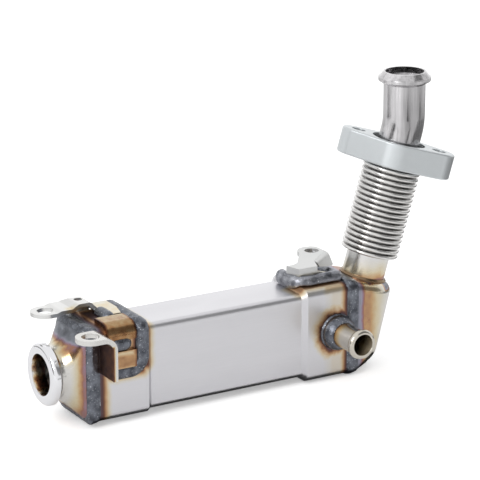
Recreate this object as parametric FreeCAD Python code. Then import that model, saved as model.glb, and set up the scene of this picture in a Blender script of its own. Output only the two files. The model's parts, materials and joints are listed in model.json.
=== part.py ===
import FreeCAD, Part
import os
from math import asin, cos, radians, sin, tan
from FreeCAD import Placement, Rotation, Vector

# Exhaust gas cooler, in millimetres. X runs along the cooler from its inlet to its outlet,
# Y runs to its back and Z is up. The pieces are built round the casing's own axis, and each
# is then lowered by INLET_RISE, so that the origin is the centre of the inlet flange's face.

# Casing: one rectangular tube of sheet, with both ends flared out
CASE_START = 24.0
CASE_LENGTH = 189.0
CASE_WIDTH = 38.0
CASE_HEIGHT = 56.0
CASE_CORNER = 4.0
CASE_WALL = 1.2
FLARE_OUT = 3.0
FLARE_RAMP = 3.0
INLET_FLARE = 39.5
INLET_FLARE_BELOW = 1.0
OUTLET_FLARE = 34.0

# Inlet flange: a turned ring with a flat face and a tapered back, for a clamp band
INLET_RISE = 1.3
INLET_BORE_R = 13.0
INLET_FACE_R = 17.0
INLET_RIM_R = 19.7
INLET_RIM_START = 2.4
INLET_RIM_WIDTH = 2.6
INLET_TAPER = 2.0
INLET_NECK_WALL = 2.0
INLET_NECK_LENGTH = 2.4

# Inlet diffuser: a pressed cap from the round neck to the rectangular casing
DIFFUSER_WALL = 1.5
DIFFUSER_COLLAR = 2.0
DIFFUSER_CORNER_SPAN = 40.0
DIFFUSER_STEPS = [(0.33, 0.24), (0.79, 0.85)]

# Gas side: flat tubes with corrugated strips inside, between two tube sheets
TUBE_COUNT = 5
TUBE_THICK = 5.0
TUBE_HEIGHT = 46.0
TUBE_PITCH = 6.6
TUBE_WALL = 0.5
TUBE_PROUD = 1.0
SHEET_THICK = 2.0
SHEET_INSET = 1.0
STRIP_WAVES = 9
STRIP_GAUGE = 0.3
STRIP_SHORT = 4.0
BAFFLE_THICK = 1.0
BAFFLE_WINDOW = 12.0

# Outlet header: a pressed scoop that turns the gas up into the riser
HEADER_BOTTOM_REACH = 26.1
HEADER_WALL = 1.5
HEADER_LEVEL = 5.0
HEADER_TOP_ROUND = 6.0
HEADER_BOTTOM_ROUND = 15.0
HEADER_KNEE = 14.0

# Riser: the leaning axis of the bellows, its flange and the foot of the pipe
RISER_ALONG = 21.6
RISER_LEAN = 15.0
RISER_HEADING = -12.0

# Bellows: a thin tube with hydroformed waves and a plain skirt at each end
BELLOWS_ROOT_R = 14.0
BELLOWS_CREST_R = 18.9
BELLOWS_WALL = 0.5
BELLOWS_PITCH = 3.49
BELLOWS_WAVES = 17
BELLOWS_CREST_FLAT = 0.7
BELLOWS_CHAMFER = 0.5
BELLOWS_ROOT_FLAT = 1.0
LOWER_SKIRT = 16.2
UPPER_SKIRT = 9.0
SKIRT_DEPTH = 3.0

# Oval flange: a thick two-bolt plate on the upper skirt
OVAL_THICK = 16.8
OVAL_WAIST_R = 20.0
OVAL_END_R = 10.6
OVAL_BOLT_SPACING = 53.6
OVAL_BOLT_R = 4.5
OVAL_RECESS_R = 17.4
OVAL_GAP = 0.3
OVAL_HEADING = -39.0
OVAL_EDGE = 0.8

# Outlet pipe: bent back to vertical, with a rolled bead at its open end
PIPE_R = 13.5
PIPE_WALL = 1.2
PIPE_FOOT = 4.0
PIPE_BEND_R = 45.0
PIPE_BEND_FROM = 98.5
PIPE_TOP_Z = 161.5
BEAD_R = 17.0
BEAD_BELOW = 9.5
BEAD_APEX = 4.6
BEAD_CREST = 1.6
BEAD_MOUTH_R = 13.7
PIPE_SEAM = 2.2

# Coolant pipes: plain turned stubs with a rolled hose bead
STUB_R = 8.0
STUB_BORE_R = 6.8
STUB_REACH = 31.5
STUB_BEAD_R = 9.7
STUB_BEAD_LENGTH = 5.0
STUB_WELD_R = 12.0
STUB_WELD_HEIGHT = 9.5
FRONT_STUB_FROM_END = 12.4
FRONT_STUB_Z = 0.5
REAR_STUB_FROM_START = 30.0
REAR_STUB_Z = -2.0
REAR_STUB_REACH = 27.0

# Seam welds round both ends of the casing
SEAM_WIDTH = 9.0
SEAM_HEIGHT = 1.2
SEAM_AFTER = 6.0
CUFF_WELD_HEIGHT = 1.8
CUFF_WELD_WIDTH = 1.6

# Brackets of sheet
PLATE = 3.0
BEND_R = 1.5

# Upper bracket: a stepped strip on the casing's top, with two holes
UPPER_GAUGE = 2.4
UPPER_LUG_X = 12.6
UPPER_LUG_FROM_BACK = 4.8
UPPER_LUG_R = 9.3
UPPER_HOLE_R = 5.1
UPPER_LUG_RISE = 2.1
UPPER_JOGGLE_RISE = 3.1
UPPER_PAD_RISE = 5.6
UPPER_PAD_START = 32.0
UPPER_PAD_LENGTH = 6.5
UPPER_STEP = 4.5
UPPER_FOOT_END = 57.0
UPPER_NARROW = 4.5
UPPER_PAD_HOLE_R = 2.6
UPPER_WING = 12.0
UPPER_WING_LENGTH = 10.0

# Side bracket: a plate on the casing's front with a standing leg and a folded lug
SIDE_LEG_X = 29.6
SIDE_LEG_BELOW = 1.3
SIDE_LUG_X = 19.0
SIDE_LUG_OUT = 9.2
SIDE_LUG_R = 9.3
SIDE_HOLE_R = 5.6
SIDE_TOP_RISE = 1.0
SIDE_BEND_R = 5.5
SIDE_PLATE_LENGTH = 21.0
SIDE_PLATE_HEIGHT = 11.0
SIDE_PLATE_BELOW = 7.0
SIDE_LUG_CLEAR = 1.6

# Saddle plate: bent over the casing's top front corner
SADDLE_START = 34.0
SADDLE_LENGTH = 20.0
SADDLE_TOP = 15.0
SADDLE_DROP = 8.0

# Outlet bracket: a raised plate with a slanting lug, a front wall and a folded tongue
OUTLET_BRACKET_RISE = 11.0
OUTLET_LUG_FROM_END = 4.4
OUTLET_LUG_BACK = 21.4
OUTLET_LUG_R = 9.4
OUTLET_HOLE_R = 4.7
OUTLET_PLATE_START = 33.0
OUTLET_PLATE_FRONT = -9.0
OUTLET_PLATE_DEPTH = 10.5
OUTLET_WALL_LENGTH = 29.0
OUTLET_WALL_LEVEL = 12.0
OUTLET_WALL_END = 3.0
OUTLET_SLIT = 1.2
OUTLET_TONGUE_TURN = 41.0
OUTLET_TONGUE_LENGTH = 24.0
OUTLET_TONGUE_PAST = 3.0
OUTLET_TONGUE_DROP = 10.0
OUTLET_TONGUE_NEAR = 3.6
OUTLET_TONGUE_OUT = 3.0
OUTLET_FOLD_FROM_LUG = 8.2
OUTLET_WAIST_X = 9.0
OUTLET_WAIST_Y = 16.0

# Bracket welds: half-round beads that lie on the casing
BEAD_WIDTH = 9.8
BEAD_HEIGHT = 2.6
HOOK_BACK = 20.0
HOOK_BELOW_PLATE = 3.0
HOOK_TURN_R = 8.0
HOOK_END = 42.0
UPPER_WELD_R = 4.4
SIDE_WELD_BELOW = 2.4
SIDE_WELD_BITE = 0.2
OUTLET_WELD_WIDTH = 8.0
OUTLET_WELD_HEIGHT = 4.6
OUTLET_WELD_BACK = 20.0

CASE_END = CASE_START + CASE_LENGTH
FLARE_WIDTH = CASE_WIDTH + 2 * FLARE_OUT
FLARE_HEIGHT = CASE_HEIGHT + 2 * FLARE_OUT
FLARE_CORNER = CASE_CORNER + FLARE_OUT / 2
FRONT = -FLARE_WIDTH / 2
BACK = FLARE_WIDTH / 2
TOP = FLARE_HEIGHT / 2
INLET_FOOT = -CASE_HEIGHT / 2 - INLET_FLARE_BELOW
INLET_NECK_R = INLET_BORE_R + INLET_NECK_WALL
NECK_END = INLET_RIM_START + INLET_RIM_WIDTH + INLET_TAPER + INLET_NECK_LENGTH
COLLAR_R = INLET_NECK_R + DIFFUSER_WALL
RISER_DROP = (RISER_ALONG - HEADER_LEVEL) * tan(radians(RISER_LEAN))
RISER_FOOT = Vector(CASE_END + RISER_ALONG, 0, TOP - RISER_DROP)
RISER_TURN = Rotation(Vector(0, 0, 1), RISER_HEADING) * Rotation(Vector(0, 1, 0), RISER_LEAN)
BELLOWS_TOP = LOWER_SKIRT + BELLOWS_WAVES * BELLOWS_PITCH
OVAL_BOTTOM = BELLOWS_TOP + OVAL_GAP
UPPER_LUG_Y = BACK - UPPER_LUG_FROM_BACK
SADDLE_FOOT = TOP - SADDLE_DROP
SIDE_PLATE_TOP = SADDLE_FOOT - SIDE_PLATE_BELOW
SIDE_PLATE_FOOT = SIDE_PLATE_TOP - SIDE_PLATE_HEIGHT
BIG = 400.0


def export(name, shape):
    """Writes one named piece, with the inlet flange's centre as its origin."""
    shape = shape.copy()
    shape.translate(Vector(0, 0, -INLET_RISE))
    shape.exportStep("parts/" + name + ".step")


def arc(start, middle, end):
    """The edge of the arc through three points."""
    return Part.Arc(start, middle, end).toShape()


def loop(corners):
    """The closed wire of straight edges through the corners."""
    return Part.makePolygon(list(corners) + [corners[0]])


def plate(corners, thickness):
    """The polygon's face, pushed along its thickness vector."""
    return Part.Face(loop(corners)).extrude(thickness)


def rounded_rect(x, half, top, foot, corner):
    """A wire in the plane at x, four corner arcs and four sides, centred across the axis."""
    edges = []
    last = None
    first = None
    for quarter in range(4):
        side = 1 if quarter in (0, 3) else -1
        level = top - corner if quarter in (0, 1) else foot + corner
        centre = Vector(x, side * (half - corner), level)
        points = [centre + spoke(90 * quarter + turn, corner) for turn in (0, 45, 90)]
        if last:
            edges.append(Part.makeLine(last, points[0]))
        edges.append(arc(*points))
        first = first or points[0]
        last = points[2]
    edges.append(Part.makeLine(last, first))
    return Part.Wire(edges)


def spoke(angle, radius):
    """The vector at an angle from Y towards Z, in the plane across the axis."""
    return Vector(0, radius * cos(radians(angle)), radius * sin(radians(angle)))


def split_circle(x, radius):
    """A circle at x in eight arcs that answer a rounded rectangle's corners and sides."""
    centre = Vector(x, 0, INLET_RISE)
    edges = []
    for quarter in range(4):
        start = 90 * quarter + 45 - DIFFUSER_CORNER_SPAN / 2
        stop = start + DIFFUSER_CORNER_SPAN
        for low, high in ((start, stop), (stop, start + 90)):
            ends = [centre + spoke(angle, radius) for angle in (low, (low + high) / 2, high)]
            edges.append(arc(*ends))
    return Part.Wire(edges)


def loft(wires):
    """The solid with straight walls between the wires."""
    return Part.makeLoft(wires, True, True)


def turned(profile, centre, axis):
    """The solid turned from a closed profile of edges."""
    return Part.Face(Part.Wire(profile)).revolve(centre, axis, 360)


def polyline(points):
    """The straight edges through the points, in order."""
    return [Part.makeLine(a, b) for a, b in zip(points, points[1:])]


def on_riser(shape, along):
    """A shape built upwards from the origin, set on the riser's axis."""
    shape = shape.copy()
    foot = RISER_FOOT + RISER_TURN.multVec(Vector(0, 0, along))
    shape.Placement = Placement(foot, RISER_TURN)
    return shape


def inlet_section(x, inset):
    """The inlet flare's outline at x, drawn in by a wall."""
    return rounded_rect(x, BACK - inset, TOP - inset, INLET_FOOT + inset, FLARE_CORNER - inset)


def outlet_section(x, inset):
    """The outlet flare's outline at x, drawn in by a wall."""
    return rounded_rect(x, BACK - inset, TOP - inset, inset - TOP, FLARE_CORNER - inset)


def waist_section(x, inset):
    """The outline at x of the casing between its flares, drawn in by a wall."""
    half = CASE_HEIGHT / 2 - inset
    return rounded_rect(x, CASE_WIDTH / 2 - inset, half, -half, CASE_CORNER - inset)


def casing_sections(inset):
    """The casing's stations from inlet to outlet, drawn in by a wall."""
    waist_start = CASE_START + INLET_FLARE + FLARE_RAMP
    waist_end = CASE_END - OUTLET_FLARE - FLARE_RAMP
    return [
        inlet_section(CASE_START, inset),
        inlet_section(waist_start - FLARE_RAMP, inset),
        waist_section(waist_start, inset),
        waist_section(waist_end, inset),
        outlet_section(waist_end + FLARE_RAMP, inset),
        outlet_section(CASE_END, inset),
    ]


def casing_block():
    """The casing's outside as a filled solid, which welds and plates lie on."""
    return loft(casing_sections(0))


def make_casing():
    """The casing with its two coolant ports."""
    shell = casing_block().cut(loft(casing_sections(CASE_WALL)))
    for x, z, y in stub_places():
        hole = Part.makeCylinder(STUB_R, 2 * FLARE_OUT, Vector(x, y - FLARE_OUT, z), Vector(0, 1, 0))
        shell = shell.cut(hole)
    return shell


def stub_places():
    """The front and the rear coolant port, each as x, z and the wall it leaves from."""
    return [
        (CASE_END - FRONT_STUB_FROM_END, FRONT_STUB_Z, FRONT),
        (CASE_START + REAR_STUB_FROM_START, REAR_STUB_Z, BACK),
    ]


def flat_oval(x, y, thick, height):
    """A wire in the plane at x with round ends, standing upright at y."""
    r = thick / 2
    top = height / 2 - r
    edges = [
        Part.makeLine(Vector(x, y + r, -top), Vector(x, y + r, top)),
        arc(Vector(x, y + r, top), Vector(x, y, top + r), Vector(x, y - r, top)),
        Part.makeLine(Vector(x, y - r, top), Vector(x, y - r, -top)),
        arc(Vector(x, y - r, -top), Vector(x, y, -top - r), Vector(x, y + r, -top)),
    ]
    return Part.Wire(edges)


def oval_rod(x, length, y, inset):
    """A filled flat oval bar along X."""
    wire = flat_oval(x, y, TUBE_THICK - 2 * inset, TUBE_HEIGHT - 2 * inset)
    return Part.Face(wire).extrude(Vector(length, 0, 0))


def tube_rows():
    """The Y of each flat tube, from front to back."""
    return [(i - (TUBE_COUNT - 1) / 2) * TUBE_PITCH for i in range(TUBE_COUNT)]


def tube_start():
    """Where the flat tubes begin, just proud of the inlet tube sheet."""
    return CASE_START + SHEET_INSET - TUBE_PROUD


def tube_length():
    """The flat tubes' length, past both tube sheets."""
    return CASE_LENGTH - 2 * SHEET_INSET + 2 * TUBE_PROUD


def make_tube(y):
    """One flat gas tube."""
    outside = oval_rod(tube_start(), tube_length(), y, 0)
    return outside.cut(oval_rod(tube_start(), tube_length(), y, TUBE_WALL))


def make_strip(y):
    """The corrugated strip that lies inside one flat tube and touches both its walls."""
    half = TUBE_THICK / 2 - TUBE_WALL
    straight = TUBE_HEIGHT - TUBE_THICK
    step = straight / (2 * STRIP_WAVES)
    x = tube_start() + STRIP_SHORT
    near, far = [], []
    for i in range(2 * STRIP_WAVES + 1):
        z = i * step - straight / 2
        side = 1 if i % 2 else -1
        near.append(Vector(x, y + side * half - (STRIP_GAUGE if side > 0 else 0), z))
        far.append(Vector(x, y + side * half + (STRIP_GAUGE if side < 0 else 0), z))
    return plate(near + far[::-1], Vector(tube_length() - 2 * STRIP_SHORT, 0, 0))


def through_tubes(block):
    """A plate with a close hole for each flat tube."""
    for y in tube_rows():
        block = block.cut(oval_rod(tube_start(), tube_length(), y, 0))
    return block


def make_tube_sheet(section, x):
    """The plate that closes the coolant space at one end of the casing."""
    return through_tubes(Part.Face(section(x, CASE_WALL)).extrude(Vector(SHEET_THICK, 0, 0)))


def make_baffle(share, rise):
    """A thin plate across the coolant, with a window left open at its top or foot."""
    waist = CASE_LENGTH - INLET_FLARE - OUTLET_FLARE - 2 * FLARE_RAMP
    x = CASE_START + INLET_FLARE + FLARE_RAMP + share * waist
    block = Part.Face(waist_section(x, CASE_WALL)).extrude(Vector(BAFFLE_THICK, 0, 0))
    window = Part.makeBox(2 * BAFFLE_THICK, CASE_WIDTH, BAFFLE_WINDOW)
    low = CASE_HEIGHT / 2 - BAFFLE_WINDOW if rise > 0 else -CASE_HEIGHT / 2
    window.translate(Vector(x - BAFFLE_THICK / 2, -CASE_WIDTH / 2, low))
    return through_tubes(block.cut(window))


def make_inlet_flange():
    """The turned inlet ring: flat face, round shoulder, rim, tapered back and neck."""
    shoulder = INLET_RIM_R - INLET_FACE_R
    rim_end = INLET_RIM_START + INLET_RIM_WIDTH
    start = Vector(0, INLET_FACE_R, 0)
    crown = Vector(INLET_RIM_START, INLET_RIM_R, 0)
    bulge = Vector(INLET_RIM_START * (1 - cos(radians(45))), INLET_FACE_R + shoulder * sin(radians(45)), 0)
    back = [
        crown,
        Vector(rim_end, INLET_RIM_R, 0),
        Vector(rim_end + INLET_TAPER, INLET_NECK_R, 0),
        Vector(NECK_END, INLET_NECK_R, 0),
        Vector(NECK_END, INLET_BORE_R, 0),
        Vector(0, INLET_BORE_R, 0),
        start,
    ]
    ring = turned([arc(start, bulge, crown)] + polyline(back), Vector(0, 0, 0), Vector(1, 0, 0))
    ring.translate(Vector(0, 0, INLET_RISE))
    return ring


def cap_section(x, share, inset):
    """The cap's outline at x, a share of the way from its round collar to its rectangle."""
    half = COLLAR_R + share * (BACK - CASE_WALL - COLLAR_R)
    top = INLET_RISE + COLLAR_R + share * (TOP - CASE_WALL - COLLAR_R - INLET_RISE)
    foot = INLET_RISE - COLLAR_R + share * (INLET_FOOT + CASE_WALL + COLLAR_R - INLET_RISE)
    corner = COLLAR_R + share * (FLARE_CORNER - CASE_WALL - COLLAR_R)
    return rounded_rect(x, half - inset, top - inset, foot + inset, corner - inset)


def diffuser_block(inset):
    """The cap filled: its collar, its dished change to the rectangle, and its lip in the casing."""
    radius = COLLAR_R - inset
    length = CASE_START - NECK_END
    sections = [split_circle(NECK_END, radius)]
    sections += [cap_section(NECK_END + along * length, share, inset) for along, share in DIFFUSER_STEPS]
    sections += [cap_section(CASE_START, 1, inset), cap_section(CASE_START + SHEET_INSET, 1, inset)]
    begin = Vector(NECK_END - DIFFUSER_COLLAR, 0, INLET_RISE)
    return loft(sections).fuse(Part.makeCylinder(radius, DIFFUSER_COLLAR, begin, Vector(1, 0, 0)))


def make_diffuser():
    """The inlet cap, open at both ends, whose collar sits over the flange's neck."""
    return diffuser_block(0).cut(diffuser_block(DIFFUSER_WALL)).removeSplitter()


def make_inlet_seam():
    """The weld between the casing and the inlet cap, low and rounded, that follows both."""
    along, share = DIFFUSER_STEPS[-1]
    start = NECK_END + along * (CASE_START - NECK_END)
    band = loft([
        cap_section(start, share, -SEAM_HEIGHT / 4),
        cap_section((start + CASE_START) / 2, (1 + share) / 2, -SEAM_HEIGHT * 1.5),
        inlet_section(CASE_START, -SEAM_HEIGHT),
        inlet_section(CASE_START + SEAM_AFTER * 0.6, -SEAM_HEIGHT * 0.7),
        inlet_section(CASE_START + SEAM_AFTER, 0),
    ])
    return band.cut(casing_block()).cut(diffuser_block(0))


def make_outlet_seam():
    """The weld between the casing and the outlet header."""
    half = SEAM_WIDTH / 2
    rows = [(-half, 0), (-half * 0.6, 0.7), (0, 1), (half * 0.6, 0.7), (half, 0.3)]
    band = loft([outlet_section(CASE_END + along, -share * SEAM_HEIGHT) for along, share in rows])
    return band.cut(casing_block()).cut(header_block(0))


def header_block(inset):
    """The scoop as a filled solid: an upright D leaning with the riser, rounded at top and foot."""
    radius = BACK - inset
    foot = -TOP + inset
    centre = CASE_END + HEADER_BOTTOM_REACH - BACK
    inside = CASE_END - TOP
    lean = tan(radians(RISER_LEAN))
    shift = inset * lean
    outline = Part.Wire([
        Part.makeLine(Vector(inside, radius, foot), Vector(inside, -radius, foot)),
        Part.makeLine(Vector(inside, -radius, foot), Vector(centre + shift, -radius, foot)),
        arc(
            Vector(centre + shift, -radius, foot),
            Vector(centre + shift + radius, 0, foot),
            Vector(centre + shift, radius, foot),
        ),
        Part.makeLine(Vector(centre + shift, radius, foot), Vector(inside, radius, foot)),
    ])
    rise = FLARE_HEIGHT - 2 * inset
    scoop = Part.Face(outline).extrude(Vector(rise * lean, 0, rise))
    above = on_riser(Part.makeBox(BIG, BIG, BIG, Vector(-BIG / 2, -BIG / 2, 0)), -inset)
    scoop = scoop.cut(above)
    before = Part.makeBox(BIG, BIG, BIG, Vector(CASE_END - BIG, -BIG / 2, -BIG / 2))
    foot_edges = [e for e in scoop.Edges if lies_at(e, foot) and not crosses(e, inside)]
    scoop = scoop.makeFillet(HEADER_BOTTOM_ROUND - inset, foot_edges)
    top_edges = [e for e in scoop.Edges if rims_top(e, radius)]
    scoop = scoop.makeFillet(HEADER_TOP_ROUND - inset, top_edges)
    return scoop.fuse(header_knee(inset)).cut(before).removeSplitter()


def header_knee(inset):
    """The scoop's foot next to the casing, where the casing's tight corners open out to round ones."""
    rows = [(0, FLARE_CORNER), (SEAM_WIDTH / 2, FLARE_CORNER), (HEADER_KNEE, HEADER_BOTTOM_ROUND)]
    half, top = BACK - inset, TOP - inset
    sections = [rounded_rect(CASE_END + x, half, top, -top, corner - inset) for x, corner in rows]
    above = Part.makeBox(BIG, BIG, BIG, Vector(CASE_END - BIG / 2, -BIG / 2, 0))
    return loft(sections).cut(above)


def lies_at(edge, z):
    """Whether the whole edge lies at one height."""
    return all(abs(v.Z - z) < 0.01 for v in edge.Vertexes)


def crosses(edge, x):
    """Whether both ends of the edge lie in the plane at x."""
    return all(abs(v.X - x) < 0.01 for v in edge.Vertexes)


def rims_top(edge, radius):
    """Whether the edge is one of the scoop's side or end edges at its top."""
    centre = edge.BoundBox.Center
    wide = max(abs(edge.BoundBox.YMin), abs(edge.BoundBox.YMax)) > radius - 0.5
    return centre.z > TOP / 2 and wide and edge.BoundBox.ZLength < TOP / 2 and not_across(edge)


def not_across(edge):
    """Whether the edge is anything but a straight line from front to back."""
    return edge.BoundBox.XLength > 0.5


def riser_rod(radius):
    """A long bar on the riser's axis, through the header's top."""
    return on_riser(Part.makeCylinder(radius, 2 * SKIRT_DEPTH + LOWER_SKIRT), -2 * SKIRT_DEPTH)


def make_header():
    """The outlet header with its round opening for the bellows."""
    return header_block(0).cut(header_block(HEADER_WALL)).cut(riser_rod(BELLOWS_ROOT_R))


def make_bellows():
    """The bellows: a skirt, the waves one by one, and the upper skirt, in one thin sheet."""
    crest = BELLOWS_CREST_R
    root = BELLOWS_ROOT_R
    flank = (BELLOWS_PITCH - BELLOWS_CREST_FLAT - 2 * BELLOWS_CHAMFER - BELLOWS_ROOT_FLAT) / 2
    outside = [Vector(root, 0, -SKIRT_DEPTH)]
    inside = [Vector(root - BELLOWS_WALL, 0, -SKIRT_DEPTH)]
    for wave in range(BELLOWS_WAVES):
        z = LOWER_SKIRT + wave * BELLOWS_PITCH + BELLOWS_ROOT_FLAT / 2
        shoulder = crest - BELLOWS_CHAMFER
        rise = z + flank
        crown = rise + BELLOWS_CHAMFER
        fall = crown + BELLOWS_CREST_FLAT
        outside += [
            Vector(root, 0, z),
            Vector(shoulder, 0, rise),
            Vector(crest, 0, crown),
            Vector(crest, 0, fall),
            Vector(shoulder, 0, fall + BELLOWS_CHAMFER),
            Vector(root, 0, fall + BELLOWS_CHAMFER + flank),
        ]
        inside += [
            Vector(root - BELLOWS_WALL, 0, z - BELLOWS_ROOT_FLAT / 2),
            Vector(crest - BELLOWS_WALL, 0, crown + BELLOWS_CREST_FLAT / 2),
        ]
    outside.append(Vector(root, 0, BELLOWS_TOP + UPPER_SKIRT))
    inside.append(Vector(root - BELLOWS_WALL, 0, BELLOWS_TOP))
    inside.append(Vector(root - BELLOWS_WALL, 0, BELLOWS_TOP + UPPER_SKIRT))
    sheet = turned(polyline(outside + inside[::-1] + outside[:1]), Vector(0, 0, 0), Vector(0, 0, 1))
    return on_riser(sheet, 0)


def make_cuff_weld():
    """The weld ring where the bellows' skirt leaves the header."""
    ring = turned(
        polyline([
            Vector(BELLOWS_ROOT_R, 0, -HEADER_WALL),
            Vector(BELLOWS_ROOT_R + CUFF_WELD_WIDTH, 0, -HEADER_WALL),
            Vector(BELLOWS_ROOT_R + CUFF_WELD_WIDTH, 0, CUFF_WELD_HEIGHT / 3),
            Vector(BELLOWS_ROOT_R + CUFF_WELD_WIDTH / 3, 0, CUFF_WELD_HEIGHT),
            Vector(BELLOWS_ROOT_R, 0, CUFF_WELD_HEIGHT),
            Vector(BELLOWS_ROOT_R, 0, -HEADER_WALL),
        ]),
        Vector(0, 0, 0),
        Vector(0, 0, 1),
    )
    return on_riser(ring, 0).cut(header_block(0)).cut(casing_block())


def oval_outline():
    """The oval flange's outline: a waist and two ends joined by their tangents."""
    half = OVAL_BOLT_SPACING / 2
    turn = asin((OVAL_WAIST_R - OVAL_END_R) / half)
    across, along = cos(turn), sin(turn)
    ends = []
    for side in (1, -1):
        ends.append([
            Vector(side * OVAL_WAIST_R * along, -side * OVAL_WAIST_R * across, 0),
            Vector(side * (half + OVAL_END_R * along), -side * OVAL_END_R * across, 0),
            Vector(side * (half + OVAL_END_R), 0, 0),
            Vector(side * (half + OVAL_END_R * along), side * OVAL_END_R * across, 0),
            Vector(side * OVAL_WAIST_R * along, side * OVAL_WAIST_R * across, 0),
        ])
    edges = []
    for near, far, side in ((ends[0], ends[1], 1), (ends[1], ends[0], -1)):
        edges.append(Part.makeLine(near[0], near[1]))
        edges.append(arc(near[1], near[2], near[3]))
        edges.append(Part.makeLine(near[3], near[4]))
        edges.append(arc(near[4], Vector(0, side * OVAL_WAIST_R, 0), far[0]))
    return Part.Wire(edges)


def make_oval_flange():
    """The oval flange, bored for the skirt and recessed round the pipe."""
    body = Part.Face(oval_outline()).extrude(Vector(0, 0, OVAL_THICK))
    rims = [e for e in body.Edges if lies_at(e, 0) or lies_at(e, OVAL_THICK)]
    body = body.makeChamfer(OVAL_EDGE, rims)
    seat = UPPER_SKIRT - OVAL_GAP
    body = body.cut(Part.makeCylinder(BELLOWS_ROOT_R, OVAL_THICK))
    body = body.cut(Part.makeCylinder(OVAL_RECESS_R, OVAL_THICK, Vector(0, 0, seat)))
    for side in (-1, 1):
        place = Vector(side * OVAL_BOLT_SPACING / 2, 0, 0)
        body = body.cut(Part.makeCylinder(OVAL_BOLT_R, OVAL_THICK, place))
    body.rotate(Vector(0, 0, 0), Vector(0, 0, 1), OVAL_HEADING - RISER_HEADING)
    return on_riser(Part.makeCompound([body]), OVAL_BOTTOM).Solids[0]


def pipe_path():
    """The pipe's centre line: up the riser, round the bend and straight up to its mouth."""
    up = RISER_TURN.multVec(Vector(0, 0, 1))
    start = RISER_FOOT + up * (BELLOWS_TOP + PIPE_FOOT)
    bend = RISER_FOOT + up * PIPE_BEND_FROM
    inward = Vector(up.x, up.y, 0).normalize()
    lean = radians(RISER_LEAN)
    centre = bend - (inward * cos(lean) - Vector(0, 0, sin(lean))) * PIPE_BEND_R
    middle = centre + (inward * cos(lean / 2) - Vector(0, 0, sin(lean / 2))) * PIPE_BEND_R
    top = centre + inward * PIPE_BEND_R
    mouth = Vector(top.x, top.y, PIPE_TOP_Z - BEAD_BELOW)
    path = Part.Wire([Part.makeLine(start, bend), arc(bend, middle, top), Part.makeLine(top, mouth)])
    return path, start, up, mouth


def make_pipe():
    """The outlet pipe with its rolled bead."""
    path, start, up, mouth = pipe_path()
    walls = []
    for radius in (PIPE_R, PIPE_R - PIPE_WALL):
        ring = Part.Wire(Part.makeCircle(radius, start, up))
        walls.append(path.makePipeShell([ring], True, True))
    tube = walls[0].cut(walls[1])
    return tube.fuse(pipe_bead(mouth)).removeSplitter()


def pipe_bead(mouth):
    """The rolled bead: out to a rounded crown and back in to the open mouth."""
    low = BEAD_BELOW - BEAD_APEX
    bend = PIPE_WALL / 2
    crown = BEAD_R - bend
    swell = crown + bend * cos(radians(45))
    tuck = BEAD_CREST / 2 + bend * sin(radians(45))
    foot = Vector(crown, 0, low - BEAD_CREST / 2 - bend)
    head = Vector(crown, 0, low + BEAD_CREST / 2 + bend)
    crest = [Vector(BEAD_R, 0, low - BEAD_CREST / 2), Vector(BEAD_R, 0, low + BEAD_CREST / 2)]
    rest = [
        head,
        Vector(BEAD_MOUTH_R, 0, BEAD_BELOW),
        Vector(BEAD_MOUTH_R - PIPE_WALL, 0, BEAD_BELOW),
        Vector(crown - PIPE_WALL, 0, low),
        Vector(PIPE_R - PIPE_WALL, 0, low / 3),
        Vector(PIPE_R - PIPE_WALL, 0, 0),
        Vector(PIPE_R, 0, 0),
        Vector(PIPE_R, 0, low / 3),
        foot,
    ]
    outline = [arc(foot, Vector(swell, 0, low - tuck), crest[0])]
    outline += [Part.makeLine(*crest), arc(crest[1], Vector(swell, 0, low + tuck), head)]
    bead = turned(outline + polyline(rest), Vector(0, 0, 0), Vector(0, 0, 1))
    bead.translate(mouth)
    return bead


def make_pipe_weld():
    """The weld between the pipe and the skirt, at the foot of the flange's recess."""
    seat = BELLOWS_TOP + UPPER_SKIRT
    ring = turned(
        polyline([
            Vector(PIPE_R, 0, 0),
            Vector(PIPE_R + PIPE_SEAM, 0, 0),
            Vector(PIPE_R, 0, PIPE_SEAM),
            Vector(PIPE_R, 0, 0),
        ]),
        Vector(0, 0, 0),
        Vector(0, 0, 1),
    )
    return on_riser(ring, seat)


def stub_profile(reach):
    """Half the coolant stub's section along Y, from inside the wall to its mouth."""
    bead_start = reach - STUB_BEAD_LENGTH
    quarter = STUB_BEAD_LENGTH / 4
    side = [
        Vector(STUB_BORE_R, reach, 0),
        Vector(STUB_BORE_R, -CASE_WALL, 0),
        Vector(STUB_R, -CASE_WALL, 0),
        Vector(STUB_R, bead_start, 0),
        Vector(STUB_BEAD_R, bead_start + quarter, 0),
        Vector(STUB_BEAD_R, reach - quarter, 0),
    ]
    lip = [side[-1], Vector(STUB_BEAD_R - quarter / 2, reach - quarter / 3, 0), Vector(STUB_R, reach, 0)]
    return polyline(side) + [arc(*lip), Part.makeLine(lip[-1], side[0])]


def set_on_wall(shape, x, z, y):
    """Turns what points along +Y to leave the wall at y, and moves it there."""
    if y < 0:
        shape.rotate(Vector(0, 0, 0), Vector(0, 0, 1), 180)
    shape.translate(Vector(x, y, z))
    return shape


def make_stub(x, z, y, reach):
    """One coolant stub."""
    return set_on_wall(turned(stub_profile(reach), Vector(0, 0, 0), Vector(0, 1, 0)), x, z, y)


def make_stub_weld(x, z, y):
    """The weld ring round a coolant stub."""
    swell = Vector(STUB_R + (STUB_WELD_R - STUB_R) * 0.75, STUB_WELD_HEIGHT * 0.6, 0)
    corner = Vector(STUB_R, 0, 0)
    edge = Vector(STUB_WELD_R, 0, 0)
    crown = Vector(STUB_R, STUB_WELD_HEIGHT, 0)
    outline = polyline([crown, corner, edge]) + [arc(edge, swell, crown)]
    ring = turned(outline, Vector(0, 0, 0), Vector(0, 1, 0))
    return set_on_wall(ring, x, z, y).cut(make_outlet_seam())


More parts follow.
